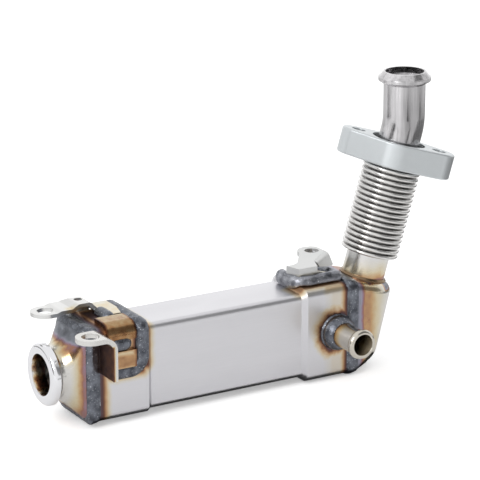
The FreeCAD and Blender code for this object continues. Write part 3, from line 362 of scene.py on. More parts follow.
class Effects:
    """The shared surface effects, each a node group that is built once."""

    def __init__(self) -> None:
        """Builds the groups."""
        self.heat = self.heat_group()
        self.temper = {way: self.temper_group(way) for way in Temper}
        self.grain = self.grain_group()
        self.scale = self.scale_group()
        self.groove_shade = self.groove_shade_group()

    def heat_group(self) -> NodeTree:
        """Heat from the distance to a box: 1 inside it, 0 beyond its reach."""
        group, bench, given, result = new_group(
            "weld_heat",
            {"Place": "Vector", "Centre": "Vector", "Half": "Vector", "Reach": "Float",
             "Peak": "Float"},
            {"Heat": "Float"},
        )
        offset = bench.vector("SUBTRACT", given["Place"], given["Centre"])
        size = bench.vector("ABSOLUTE", offset.outputs[0])
        beyond = bench.vector("SUBTRACT", size.outputs[0], given["Half"])
        outside = bench.vector("MAXIMUM", beyond.outputs[0], (0.0, 0.0, 0.0))
        length = bench.vector("LENGTH", outside.outputs[0])
        swing = bench.sloped(bench.pattern(given["Place"], HEAT_WANDER), HEAT_WANDER)
        share = bench.maths("DIVIDE", length.outputs["Value"], given["Reach"])
        limited = bench.maths("MINIMUM", share, HEAT_WANDER_LIMIT)
        uneven = bench.maths("MULTIPLY_ADD", swing, limited, share)
        cool = bench.maths("SUBTRACT", 1.0, uneven, clamp=True)
        bench.link(bench.maths("MULTIPLY", cool, given["Peak"]), result["Heat"])
        return group

    def temper_group(self, way: Temper) -> NodeTree:
        """Turns heat into the colours that stainless takes, from straw and brown to grey."""
        group, bench, given, result = new_group(
            "temper_" + way.value,
            {"Place": "Vector", "Steel": "Color", "Heat": "Float", "Patchy": "Float"},
            {"Color": "Color", "Dull": "Float"},
        )
        patches = bench.swing(given["Place"], HEAT_PATCHES)
        share = bench.maths("MULTIPLY_ADD", patches, given["Patchy"], 1.0)
        heat = bench.maths("MULTIPLY", given["Heat"], share)
        tint = bench.ramp(heat, TEMPER_STOPS[way])
        bench.link(bench.mix("MULTIPLY", 1.0, given["Steel"], tint), result["Color"])
        bench.link(bench.maths("MULTIPLY", heat, HEAT_DULLS), result["Dull"])
        return group

    def grain_group(self) -> NodeTree:
        """Fine brush lines, soft smudges and broad bands, on a colour, a roughness and a height.

        The painted-shade input is the share of its colour that a point keeps, and Dull is added to
        its roughness.
        """
        group, bench, given, result = new_group(
            "brush_grain",
            {"Place": "Vector", "Stretch": "Vector", "Size": "Float", "Streak": "Float",
             "Smudge": "Float", "Band": "Float", "Tint": "Color", "Kept": "Float",
             "Rough": "Float", "Dull": "Float"},
            {"Color": "Color", "Rough": "Float", "Height": "Float"},
        )
        drawn = bench.vector("MULTIPLY", given["Place"], given["Stretch"])
        broad = bench.vector("MULTIPLY", drawn.outputs[0], BAND_STRETCH)
        lines = bench.noise(drawn.outputs[0], given["Size"], LINE_DETAIL)
        line = bench.maths("SUBTRACT", lines, NOISE_MIDDLE)
        cloud = bench.swing(given["Place"], SMUDGES)
        bands = bench.swing(broad.outputs[0], BANDS)
        streak = bench.maths("MULTIPLY", line, given["Streak"])
        smudge = bench.maths("MULTIPLY", cloud, given["Smudge"])
        band = bench.maths("MULTIPLY", bands, given["Band"])
        shade = bench.maths("ADD", bench.maths("ADD", streak, smudge), band)
        # Painted shade in the bellows' grooves darkens the colour here.
        light = bench.maths("MULTIPLY", bench.maths("ADD", shade, 1.0), given["Kept"])
        tone = bench.vector("SCALE", given["Tint"])
        bench.feed(tone.inputs["Scale"], light)
        rough = bench.maths("MULTIPLY_ADD", shade, SHADE_TO_ROUGHNESS, given["Rough"])
        bench.link(tone.outputs[0], result["Color"])
        bench.link(bench.maths("ADD", rough, given["Dull"]), result["Rough"])
        bench.link(lines, result["Height"])
        return group

    def scale_group(self) -> NodeTree:
        """A bead's dark scale, its lighter drifts and bright flecks of painted glint."""
        group, bench, given, result = new_group(
            "bead_scale",
            {"Place": "Vector", "Dark": "Color", "Light": "Color", "Fleck": "Color"},
            {"Color": "Color", "Height": "Float", "Rough": "Float"},
        )
        drift = bench.pattern(given["Place"], SCALE_DRIFT)
        soft = bench.sloped(drift, SCALE_DRIFT, clamp=True)
        glint_spots = bench.pattern(given["Place"], SCALE_GLINTS)
        bright = bench.sloped(glint_spots, SCALE_GLINTS, clamp=True)
        base = bench.mix("MIX", soft, given["Dark"], given["Light"])
        rough = bench.maths("MULTIPLY_ADD", drift, SCALE_ROUGH_SWING, SCALE_ROUGH_LEAST)
        bench.link(bench.mix("MIX", bright, base, given["Fleck"]), result["Color"])
        bench.link(bench.pattern(given["Place"], SCALE_RIPPLE), result["Height"])
        bench.link(rough, result["Rough"])
        return group

    def groove_shade_group(self) -> NodeTree:
        """The mask of the painted shade in the bellows' grooves: 0 at roots, 1 at crests and
        skirts.
        """
        group, bench, given, result = new_group(
            "painted_groove_shade",
            {"Place": "Vector", "Start": "Vector", "Axis": "Vector", "Pitch": "Float",
             "Waves": "Float"},
            {"Out": "Float"},
        )
        offset = bench.vector("SUBTRACT", given["Place"], given["Start"])
        along = bench.vector("DOT_PRODUCT", offset.outputs[0], given["Axis"])
        turn = bench.maths("DIVIDE", along.outputs["Value"], given["Pitch"])
        sine = bench.maths("SINE", bench.maths("MULTIPLY", turn, math.pi))
        wave = bench.maths("SUBTRACT", bench.maths("ABSOLUTE", sine), GROOVE_FLOOR)
        open_wave = bench.maths("MULTIPLY", wave, GROOVE_SLOPE, clamp=True)
        below = bench.maths("LESS_THAN", turn, 0.0)
        above = bench.maths("GREATER_THAN", turn, given["Waves"])
        skirt = bench.maths("MAXIMUM", below, above)
        bench.link(bench.maths("MAXIMUM", open_wave, skirt), result["Out"])
        return group


class Paintshop:
    """Makes one material for each finish."""

    def __init__(self, effects: Effects) -> None:
        """Keeps the shared effects."""
        self.effects = effects

    def start(self, name: str) -> tuple[Material, NodeBench, Node, Socket]:
        """Starts a material.

        Args:
            name: the material's name.

        Returns:
            The material, its bench, its shader and the place on the piece in metres.
        """
        material = bpy.data.materials.new(name)
        material.use_nodes = True
        bench = NodeBench(material.node_tree)
        shader = material.node_tree.nodes["Principled BSDF"]
        shader.inputs["Metallic"].default_value = 1.0
        return material, bench, shader, bench.add("TexCoord").outputs["Object"]

    def group(self, bench: NodeBench, tree: NodeTree, **values: object) -> Node:
        """Places a shared effect in a material and feeds its inputs.

        Args:
            bench: the material's bench.
            tree: the shared effect.
            values: what each input takes.

        Returns:
            The group's node.
        """
        node = bench.add("Group", node_tree=tree)
        for key, value in values.items():
            bench.feed(node.inputs[key], value)
        return node

    def bump(
        self, bench: NodeBench, shader: Node, height: Socket, strength: float, depth: float
    ) -> None:
        """Roughens a shader's normal.

        Args:
            bench: the material's bench.
            shader: the material's shader.
            height: the surface's height.
            strength: how much of the bump is taken.
            depth: how deep it is, in millimetres.
        """
        node = bench.add("Bump")
        node.inputs["Strength"].default_value = strength
        node.inputs["Distance"].default_value = depth * MM
        bench.link(height, node.inputs["Height"])
        bench.link(node.outputs[0], shader.inputs["Normal"])

    def heat(self, bench: NodeBench, place: Socket, zones: tuple[HeatZone, ...]) -> object:
        """The hottest of the zones at each point.

        Args:
            bench: the material's bench.
            place: the point on the piece.
            zones: the heat zones.

        Returns:
            A socket, or 0 where there are no zones.
        """
        hottest = None
        for zone in zones:
            node = self.group(
                bench,
                self.effects.heat,
                Place=place,
                Centre=tuple(v * MM for v in zone.centre),
                Half=tuple(v * MM for v in zone.half),
                Reach=zone.reach * MM,
                Peak=zone.peak,
            )
            warm = node.outputs["Heat"]
            hottest = bench.maths("MAXIMUM", hottest, warm) if hottest else warm
        return hottest or 0.0

    def steel(self, finish: Steel) -> Material:
        """A stainless surface with grain and heat tint.

        Args:
            finish: the steel's colour, gloss, grain and heat zones.

        Returns:
            The material.
        """
        material, bench, shader, place = self.start(finish.name)
        temper = self.group(
            bench,
            self.effects.temper[finish.temper],
            Place=place,
            Steel=(*finish.colour, 1.0),
            Heat=self.heat(bench, place, finish.zones),
            Patchy=finish.patchy,
        )
        grain = self.group(
            bench,
            self.effects.grain,
            Place=place,
            Stretch=finish.grain,
            Size=finish.grain_size,
            Streak=finish.streak,
            Smudge=finish.smudge,
            Band=finish.band,
            Tint=temper.outputs["Color"],
            # Only the bellows take painted shade, in their grooves.
            Kept=self.grooves(bench, place, finish.groove_shade) if finish.groove_shade else 1.0,
            Rough=finish.roughness,
            Dull=temper.outputs["Dull"],
        )
        bench.link(grain.outputs["Color"], shader.inputs["Base Color"])
        bench.link(grain.outputs["Rough"], shader.inputs["Roughness"])
        self.bump(bench, shader, grain.outputs["Height"], finish.grain_depth, GRAIN_BUMP_DEPTH)
        shader.inputs["Anisotropic"].default_value = finish.anisotropy
        shader.inputs["Metallic"].default_value = finish.metallic
        return material

    def grooves(self, bench: NodeBench, place: Socket, left: float) -> Socket:
        """Painted shade in the bellows' grooves: how much of its colour each point keeps.

        Args:
            bench: the material's bench.
            place: the point on the piece.
            left: what the bottoms of the grooves keep under the painted shade.

        Returns:
            The share as a socket.
        """
        seat, axis = mount("flange_bolts")
        riser = Riser()
        node = self.group(
            bench,
            self.effects.groove_shade,
            Place=place,
            Start=tuple(riser.first_root(seat, axis)),
            Axis=tuple(axis),
            Pitch=riser.pitch * MM,
            Waves=float(riser.waves),
        )
        return bench.maths("MULTIPLY_ADD", node.outputs["Out"], 1.0 - left, left)

    def weld(self, finish: WeldSteel) -> Material:
        """A weld bead's surface.

        Args:
            finish: the bead's colours and bump.

        Returns:
            The material.
        """
        material, bench, shader, place = self.start(finish.name)
        scale = self.group(
            bench,
            self.effects.scale,
            Place=place,
            Dark=(*finish.dark, 1.0),
            Light=(*finish.light, 1.0),
            Fleck=(*finish.glint_fleck, 1.0),
        )
        bench.link(scale.outputs["Color"], shader.inputs["Base Color"])
        bench.link(scale.outputs["Rough"], shader.inputs["Roughness"])
        self.bump(bench, shader, scale.outputs["Height"], finish.bump, finish.bump_depth)
        return material


# Distances under which points are one, and at which a ring is found, in metres.
MERGE = 0.002 * MM
NEAR = 0.01 * MM
# Angles in degrees: of faces that are one flat, of edges that are rounded, and of smooth shading.
FLAT_ANGLE = 0.6
SHARP_ANGLE = 40.0
SMOOTH_ANGLE = 32.0
STUB_SMOOTH_ANGLE = 45.0
WAVE_SMOOTH_ANGLE = 60.0
EDGE_SEGMENTS = 2
# Directions in a turned piece's section, in degrees.
INWARD, OUTWARD, DOWN = 180.0, 0.0, -90.0


def only(piece: bpy.types.Object) -> None:
    """Selects one object and makes it active."""
    bpy.ops.object.select_all(action="DESELECT")
    piece.select_set(True)
    bpy.context.view_layer.objects.active = piece


def edit_all(piece: bpy.types.Object) -> None:
    """Opens a piece in edit mode with everything selected."""
    only(piece)
    bpy.ops.object.mode_set(mode="EDIT")
    bpy.ops.mesh.select_all(action="SELECT")


def leave_edit() -> None:
    """Goes back to object mode."""
    bpy.ops.object.mode_set(mode="OBJECT")


def apply_last(piece: bpy.types.Object) -> None:
    """Applies the piece's newest modifier."""
    only(piece)
    bpy.ops.object.modifier_apply(modifier=piece.modifiers[-1].name)


def smooth(piece: bpy.types.Object, degrees: float = SMOOTH_ANGLE) -> None:
    """Shades a piece smooth where its faces meet at less than the angle."""
    only(piece)
    bpy.ops.object.shade_smooth_by_angle(angle=math.radians(degrees))


def copy_of(node: str, name: str) -> bpy.types.Object:
    """A separate, merged copy of a CAD piece's mesh, to be finished.

    Args:
        node: the CAD piece.
        name: the copy's name.

    Returns:
        The copy, at the origin.
    """
    piece = bpy.data.objects.new(name, frame["nodes"][node].data.copy())
    bpy.context.scene.collection.objects.link(piece)
    piece.data.materials.clear()
    edit_all(piece)
    bpy.ops.mesh.remove_doubles(threshold=MERGE)
    leave_edit()
    if piece.data.has_custom_normals:
        only(piece)
        bpy.ops.mesh.customdata_custom_splitnormals_clear()
    return piece


def softened(node: str, name: str, edge: float) -> bpy.types.Object:
    """A copy of a CAD piece whose sharp edges are rounded a little.

    Args:
        node: the CAD piece.
        name: the copy's name.
        edge: the rounding's width, in millimetres, or 0 for none.

    Returns:
        The finished piece.
    """
    piece = copy_of(node, name)
    edit_all(piece)
    bpy.ops.mesh.dissolve_limited(angle_limit=math.radians(FLAT_ANGLE))
    leave_edit()
    if edge:
        bevel = piece.modifiers.new("edges", "BEVEL")
        bevel.width = edge * MM
        bevel.segments = EDGE_SEGMENTS
        bevel.limit_method = "ANGLE"
        bevel.angle_limit = math.radians(SHARP_ANGLE)
        bevel.use_clamp_overlap = True
        apply_last(piece)
    smooth(piece)
    flat = piece.modifiers.new("flat_faces", "WEIGHTED_NORMAL")
    flat.keep_sharp = True
    apply_last(piece)
    return piece


@dataclass(frozen=True)
class Lumps:
    """How rough a bead's surface is, in millimetres: its mesh, the push and the pattern's size."""

    grid: float = 0.45
    push: float = 0.4
    size: float = 3.0

    def shape(self, piece: bpy.types.Object) -> None:
        """Meshes a bead evenly, then pushes it about by noise."""
        remesh = piece.modifiers.new("even", "REMESH")
        remesh.mode = "VOXEL"
        remesh.voxel_size = self.grid * MM
        apply_last(piece)
        pattern = bpy.data.textures.new(piece.name + "_lumps", "CLOUDS")
        pattern.noise_scale = self.size * MM
        push = piece.modifiers.new("lumps", "DISPLACE")
        push.texture = pattern
        push.texture_coords = "LOCAL"
        push.strength = self.push * MM
        push.mid_level = NOISE_MIDDLE
        apply_last(piece)
        only(piece)
        bpy.ops.object.shade_smooth()


def turned(name: str, profile: Profile, segments: int, closed: bool) -> bpy.types.Object:
    """A piece turned about Z: a ring, drawn out and resized from point to point of its profile.

    Args:
        name: the piece's name.
        profile: radius and height of each ring, in millimetres.
        segments: how many points a ring has.
        closed: whether the last ring meets the first.

    Returns:
        The turned piece, about the Z axis.
    """
    bpy.ops.object.select_all(action="DESELECT")
    radius, height = profile[0]
    bpy.ops.mesh.primitive_circle_add(
        vertices=segments, radius=radius * MM, location=(0, 0, height * MM), fill_type="NOTHING"
    )
    piece = bpy.context.object
    piece.name = name
    bpy.ops.object.transform_apply(location=True)
    edit_all(piece)
    rings = profile[1:] + (profile[:1] if closed else [])
    for next_radius, next_height in rings:
        rise = (0, 0, (next_height - height) * MM)
        bpy.ops.mesh.extrude_region_move(TRANSFORM_OT_translate={"value": rise})
        share = next_radius / radius
        bpy.ops.transform.resize(value=(share, share, 1), center_override=(0, 0, next_height * MM))
        radius, height = next_radius, next_height
    bpy.ops.mesh.select_all(action="SELECT")
    if closed:
        bpy.ops.mesh.remove_doubles(threshold=MERGE)
    bpy.ops.mesh.normals_make_consistent(inside=False)
    leave_edit()
    return piece


def set_along(piece: bpy.types.Object, foot: Vector, axis: Vector) -> None:
    """Turns a piece built up from the origin along Z to stand at a foot along an axis."""
    turn = Vector((0, 0, 1)).rotation_difference(axis).to_matrix().to_4x4()
    piece.data.transform(Matrix.Translation(foot) @ turn)


def arc_points(centre: Pair, radius: float, start: float, end: float, steps: int) -> Profile:
    """Profile points along an arc.

    Args:
        centre: the arc's middle, as radius and height.
        radius: the arc's own radius.
        start: its first angle in degrees, from outwards towards up.
        end: its last angle.
        steps: how many stretches it has.

    Returns:
        The points, both ends among them.
    """
    points = []
    for step in range(steps + 1):
        angle = math.radians(start + (end - start) * step / steps)
        out, up = radius * math.cos(angle), radius * math.sin(angle)
        points.append((centre[0] + out, centre[1] + up))
    return points


def dress(piece: bpy.types.Object, node: str, material: Material) -> None:
    """Gives a finished piece its finish and lets it stand for its CAD node.

    Args:
        piece: the finished piece.
        node: the CAD piece that it stands for.
        material: the finish.
    """
    piece.data.materials.clear()
    piece.data.materials.append(material)
    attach(piece, BODY)
    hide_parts(node)
    LOG.info("%s stands for %s with %d faces", piece.name, node, len(piece.data.polygons))


def stand_in(node: str, name: str, material: Material, edge: float = 0.0) -> None:
    """Lets an eased copy of a CAD piece stand for it.

    Args:
        node: the CAD piece.
        name: the copy's name.
        material: the finish.
        edge: the rounding's width, in millimetres, or 0 for none.
    """
    dress(softened(node, name, edge), node, material)


def repaint(node: str, material: Material) -> None:
    """Gives a CAD piece that keeps its own mesh a finish."""
    kept = frame["nodes"][node]
    kept.data.materials.clear()
    kept.data.materials.append(material)
    LOG.info("%s keeps its own mesh", node)


def mount(name: str) -> tuple[Vector, Vector]:
    """A named mount's place and axis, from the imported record."""
    for entry in frame["record"]["mounts"]:
        if entry["name"] == name:
            return Vector(entry["pos_m"]), Vector(entry["axis"]).normalized()
    raise KeyError(name)


@dataclass
class Body:
    """The casing and what it holds."""

    edge: float = 1.0
    tubes: int = 5
    baffles: int = 2

    def build(self, body: Material, core: Material) -> None:
        """Finishes the casing and paints the pieces inside it."""
        stand_in("outer_casing", "casing_shell", body, self.edge)
        inner = ["inlet_tube_sheet", "outlet_tube_sheet"]
        inner += ["gas_tube_%d" % n for n in range(1, self.tubes + 1)]
        inner += ["gas_strip_%d" % n for n in range(1, self.tubes + 1)]
        inner += ["coolant_baffle_%d" % n for n in range(1, self.baffles + 1)]
        for node in inner:
            repaint(node, core)


@dataclass
class InletEnd:
    """The clamp ring, turned, and the pressed cap behind it.

    Sizes are radii and lengths in millimetres, from the ring's flat face.
    """

    bore: float = 13.0
    bore_edge: float = 0.5
    bore_round: float = 0.15
    face: float = 17.0
    face_edge: float = 0.6
    rim: float = 19.7
    rim_end: float = 5.0
    rim_edge: float = 0.3
    taper_end: float = 7.0
    neck: float = 15.0
    neck_edge: float = 0.4
    length: float = 9.4
    shoulder_steps: int = 6
    segments: int = 128

    def ring_profile(self) -> Profile:
        """The ring's section from its bore round its face, shoulder and neck."""
        round_r = self.rim - self.face
        middle = (self.face, round_r)
        return [
            (self.bore, self.length),
            (self.bore, self.bore_edge),
            (self.bore + self.bore_round, self.bore_round),
            (self.bore + self.bore_edge, 0.0),
            (self.face - self.face_edge, 0.0),
            *arc_points(middle, round_r, DOWN, OUTWARD, self.shoulder_steps),
            (self.rim, self.rim_end - self.rim_edge),
            (self.rim - self.rim_edge, self.rim_end),
            (self.neck + self.rim_edge, self.taper_end),
            (self.neck, self.taper_end + self.neck_edge),
            (self.neck, self.length),
        ]

    def build(self, ring_finish: Material, cap_finish: Material) -> None:
        """Turns the ring and finishes the cap."""
        ring = turned("clamp_ring", self.ring_profile(), self.segments, closed=True)
        place, outward = mount("gas_inlet")
        set_along(ring, place, -outward)
        smooth(ring)
        dress(ring, "inlet_flange", ring_finish)
        stand_in("inlet_diffuser", "inlet_cap", cap_finish)


@dataclass
class Riser:
    """The header, the bellows, the oval flange and the pipe.

    Sizes are in millimetres, and sweeps in degrees. Depth is how far the lower skirt goes on into
    the header, and gap is what parts the waves from the flange's seat.
    """

    root: float = 14.0
    root_r: float = 0.46
    root_sweep: float = 80.0
    root_steps: int = 3
    crest: float = 18.9
    crest_r: float = 1.22
    crest_sweep: float = 86.0
    crest_steps: int = 8
    wall: float = 0.5
    pitch: float = 3.49
    waves: int = 17
    lower_skirt: float = 16.2
    upper_skirt: float = 9.0
    gap: float = 0.3
    depth: float = 3.0
    header_edge: float = 0.3
    flange_edge: float = 0.35
    segments: int = 112

    def first_root(self, seat: Vector, axis: Vector) -> Vector:
        """Where the waves start, below the flange's seat."""
        return seat - axis * (self.gap + self.waves * self.pitch) * MM

    def wave_profile(self) -> Profile:
        """One wave from root to root: a round root, a straight flank, a round crest and back."""
        root, crest = self.root + self.root_r, self.crest - self.crest_r
        bend, arch = self.root_sweep, self.crest_sweep
        low = arc_points((root, 0), self.root_r, INWARD, INWARD - bend, self.root_steps)
        top = arc_points((crest, self.pitch / 2), self.crest_r, -arch, arch, self.crest_steps)
        high = arc_points((root, self.pitch), self.root_r, INWARD + bend, INWARD, self.root_steps)
        return low + top + high

    def bellows(self) -> bpy.types.Object:
        """The bellows: one wave, repeated, with a skirt drawn out at each end."""
        piece = turned("riser_bellows", self.wave_profile(), self.segments, closed=False)
        repeat = piece.modifiers.new("waves", "ARRAY")
        repeat.count = self.waves
        repeat.use_relative_offset = False
        repeat.use_constant_offset = True
        repeat.constant_offset_displace = (0, 0, self.pitch * MM)
        repeat.use_merge_vertices = True
        repeat.merge_threshold = NEAR
        apply_last(piece)
        top = self.waves * self.pitch
        self.draw_out(piece, 0.0, -self.lower_skirt - self.depth)
        self.draw_out(piece, top, self.upper_skirt)
        wall = piece.modifiers.new("wall", "SOLIDIFY")
        wall.thickness = self.wall * MM
        wall.offset = -1
        apply_last(piece)
        return piece

    def draw_out(self, piece: bpy.types.Object, level: float, length: float) -> None:
        """Draws the open ring at a level out along the axis.

        Args:
            piece: the bellows so far, built up along Z.
            level: the ring's height, in millimetres.
            length: how far it is drawn, in millimetres, downwards where it is negative.
        """
        only(piece)
        bpy.ops.object.mode_set(mode="EDIT")
        bpy.ops.mesh.select_all(action="DESELECT")
        leave_edit()
        for vertex in piece.data.vertices:
            vertex.select = abs(vertex.co.z - level * MM) < NEAR
        bpy.ops.object.mode_set(mode="EDIT")
        bpy.ops.mesh.extrude_region_move(TRANSFORM_OT_translate={"value": (0, 0, length * MM)})
        bpy.ops.mesh.select_all(action="SELECT")
        bpy.ops.mesh.normals_make_consistent(inside=False)
        leave_edit()

    def build(self, shine: Material, plate: Material, pipe: Material, cap: Material) -> None:
        """Builds the riser's pieces on its leaning axis.

        Args:
            shine: the bellows' steel.
            plate: the flange's steel.
            pipe: the pipe's steel.
            cap: the header's steel.
        """
        stand_in("outlet_header", "outlet_scoop", cap, self.header_edge)
        seat, axis = mount("flange_bolts")
        bellows = self.bellows()
        set_along(bellows, self.first_root(seat, axis), axis)
        smooth(bellows, WAVE_SMOOTH_ANGLE)
        dress(bellows, "bellows", shine)
        stand_in("oval_flange", "riser_flange", plate, self.flange_edge)
        stand_in("outlet_pipe", "riser_pipe", pipe)


@dataclass
class Stub:
    """One turned coolant stub and its weld ring.

    Sizes are in millimetres, along the stub's own axis from the wall. The bead's rise and fall are
    pairs of a share of its swell and a length, on from the bead's start or back from the mouth. The
    weld's section is pairs of a share of its swell, taken off, and a share of its height.
    """

    side: str
    reach: float
    bore: float = 6.8
    outside: float = 8.0
    wall: float = 1.2
    bead: float = 9.7
    bead_length: float = 5.0
    bead_rise: tuple[Pair, ...] = ((0.0, -0.9), (0.0, -0.1), (0.35, 0.55), (0.8, 1.2))
    bead_fall: tuple[Pair, ...] = ((0.75, 0.9), (0.2, 0.15))
    crest_start: float = 2.2
    crest_length: float = 0.7
    lip: float = 0.4
    mouth_depth: float = 0.5
    mouth_round: Pair = (0.25, 0.1)
    weld: float = 12.0
    weld_height: float = 9.5
    weld_sink: float = 0.4
    weld_back: float = 1.0
    weld_lip: float = 0.2
    weld_section: tuple[Pair, ...] = (
        (0.0, 0.05), (0.10, 0.10), (0.28, 0.13), (0.16, 0.24),
        (0.12, 0.36), (0.18, 0.50), (0.34, 0.66), (0.60, 0.84),
    )
    segments: int = 72
    lumps: Lumps = Lumps(grid=0.4, push=0.3, size=2.4)

    def profile(self) -> Profile:
        """The stub's section: bore, tube, rolled bead and rounded mouth."""
        start = self.reach - self.bead_length
        swell = self.bead - self.outside
        crest = start + self.crest_start
        return [
            (self.bore, self.reach - self.mouth_depth),
            (self.bore, -self.wall),
            (self.outside, -self.wall),
            *[(self.outside + swell * share, start + on) for share, on in self.bead_rise],
            (self.bead, crest),
            (self.bead, crest + self.crest_length),
            *[(self.outside + swell * share, self.reach - back) for share, back in self.bead_fall],
            (self.outside - self.lip, self.reach),
            (self.bore + self.mouth_round[0], self.reach - self.mouth_round[1]),
        ]

    def bead_profile(self) -> Profile:
        """The weld ring's section: a thin toe, a step and a round swell down to the tube."""
        swell = self.weld - self.outside
        high = self.weld_height
        inside = self.outside - self.weld_sink
        return [
            (inside, high - self.weld_back),
            (inside, -self.weld_sink),
            (self.weld, -self.weld_sink),
            *[(self.weld - swell * share, high * up) for share, up in self.weld_section],
            (self.outside + self.weld_lip, high),
        ]

    def build(self, finish: Material, scale: Material) -> None:
        """Turns the stub and its weld ring, and sets both on the wall.

        Args:
            finish: the stub's steel.
            scale: the weld ring's scale.
        """
        node, count = "coolant_stub_" + self.side, self.segments
        piece = turned("hose_stub_" + self.side, self.profile(), count, closed=True)
        bead = turned("hose_bead_" + self.side, self.bead_profile(), count, closed=True)
        place, outward = mount("coolant_" + self.side)
        low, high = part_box(node)
        tip = high.y if outward.y > 0 else low.y
        foot = Vector((place.x, tip - outward.y * self.reach * MM, place.z))
        for made in (piece, bead):
            set_along(made, foot, outward)
        smooth(piece, STUB_SMOOTH_ANGLE)
        dress(piece, node, finish)
        self.lumps.shape(bead)
        dress(bead, "coolant_weld_" + self.side, scale)


@dataclass
class Brackets:
    """The sheet brackets, each a copy with eased edges."""

    edge: float = 0.35
    names: dict[str, str] = field(
        default_factory=lambda: {
            "upper_bracket": "stepped_strip",
            "side_bracket": "standing_leg",
            "saddle_plate": "corner_saddle",
            "outlet_bracket": "slanting_lug",
        }
    )

    def build(self, finishes: dict[str, Material]) -> None:
        """Finishes each bracket with its own steel."""
        for node, name in self.names.items():
            stand_in(node, name, finishes[node], self.edge)


@dataclass
class Beads:
    """The weld beads: the rough ones round the casing, and the smooth ones on the riser.

    The tall one climbs the plate behind it, by the share that its rise gives.
    """

    lumps: Lumps = Lumps()
    rough: tuple[str, ...] = (
        "inlet_seam_weld",
        "outlet_seam_weld",
        "saddle_weld",
        "upper_bracket_weld",
        "side_bracket_weld",
        "outlet_bracket_weld",
    )
    tall: str = "outlet_bracket_weld"
    rise: float = 1.24

    def raise_up(self, piece: bpy.types.Object) -> None:
        """Draws a bead up from its foot, over the wall behind it."""
        foot = min(vertex.co.z for vertex in piece.data.vertices)
        piece.scale.z = self.rise
        piece.location.z = foot * (1 - self.rise)
        only(piece)
        bpy.ops.object.transform_apply(location=True, rotation=False, scale=True)

    def build(self, scale: Material, bright_scale: Material, smooth_steel: Material) -> None:
        """Grows a lumpy bead from each plain one.

        Args:
            scale: the beads' dark scale.
            bright_scale: the tall bead's brighter scale.
            smooth_steel: the steel of the riser's smooth beads.
        """
        for node in self.rough:
            piece = copy_of(node, node.replace("weld", "bead"))
            if node == self.tall:
                self.raise_up(piece)
            self.lumps.shape(piece)
            dress(piece, node, bright_scale if node == self.tall else scale)
        cuff = copy_of("bellows_weld", "cuff_bead")
        smooth(cuff)
        dress(cuff, "bellows_weld", smooth_steel)
        repaint("pipe_weld", smooth_steel)


@dataclass(frozen=True)
class Board:
    """A sheet that only shows in reflections, for darker or brighter tones on metal.

    Place and size are in metres. A board that lies is flat on the floor, with its size along X and
    Y; any other one faces the cooler, with its width and height.
    """

    name: str
    use: Use
    place: Triple
    size: Pair
    lies: bool = False


BOARDS = (
    Board("left_board", Use.DARKEN, (-1.2, -0.1, 0.25), (0.5, 1.1)),
    Board("front_board", Use.SHADE, (1.03, -1.0, 0.85), (1.7, 1.5)),
    Board("low_board", Use.BRIGHTEN, (0.86, 1.23, 0.42), (2.2, 1.0)),
    Board("step_board", Use.SHADE, (-0.43, 1.23, 0.73), (0.45, 0.36)),
    Board("left_floor_board", Use.DARKEN, (-0.24, 0.36, 0.0), (0.26, 0.36), lies=True),
    Board("right_floor_board", Use.SHADE, (0.68, 0.10, 0.0), (0.50, 1.00), lies=True),
    Board("front_floor_board", Use.SHADE, (0.20, -0.53, 0.0), (0.30, 0.36), lies=True),
    # A dark sheet under the casing: a painted shadow, seen only in the bottom edge's reflection.
    Board("under_shadow_board", Use.DARKEN, (0.137, 0.0, 0.0), (0.228, 0.050), lies=True),
)


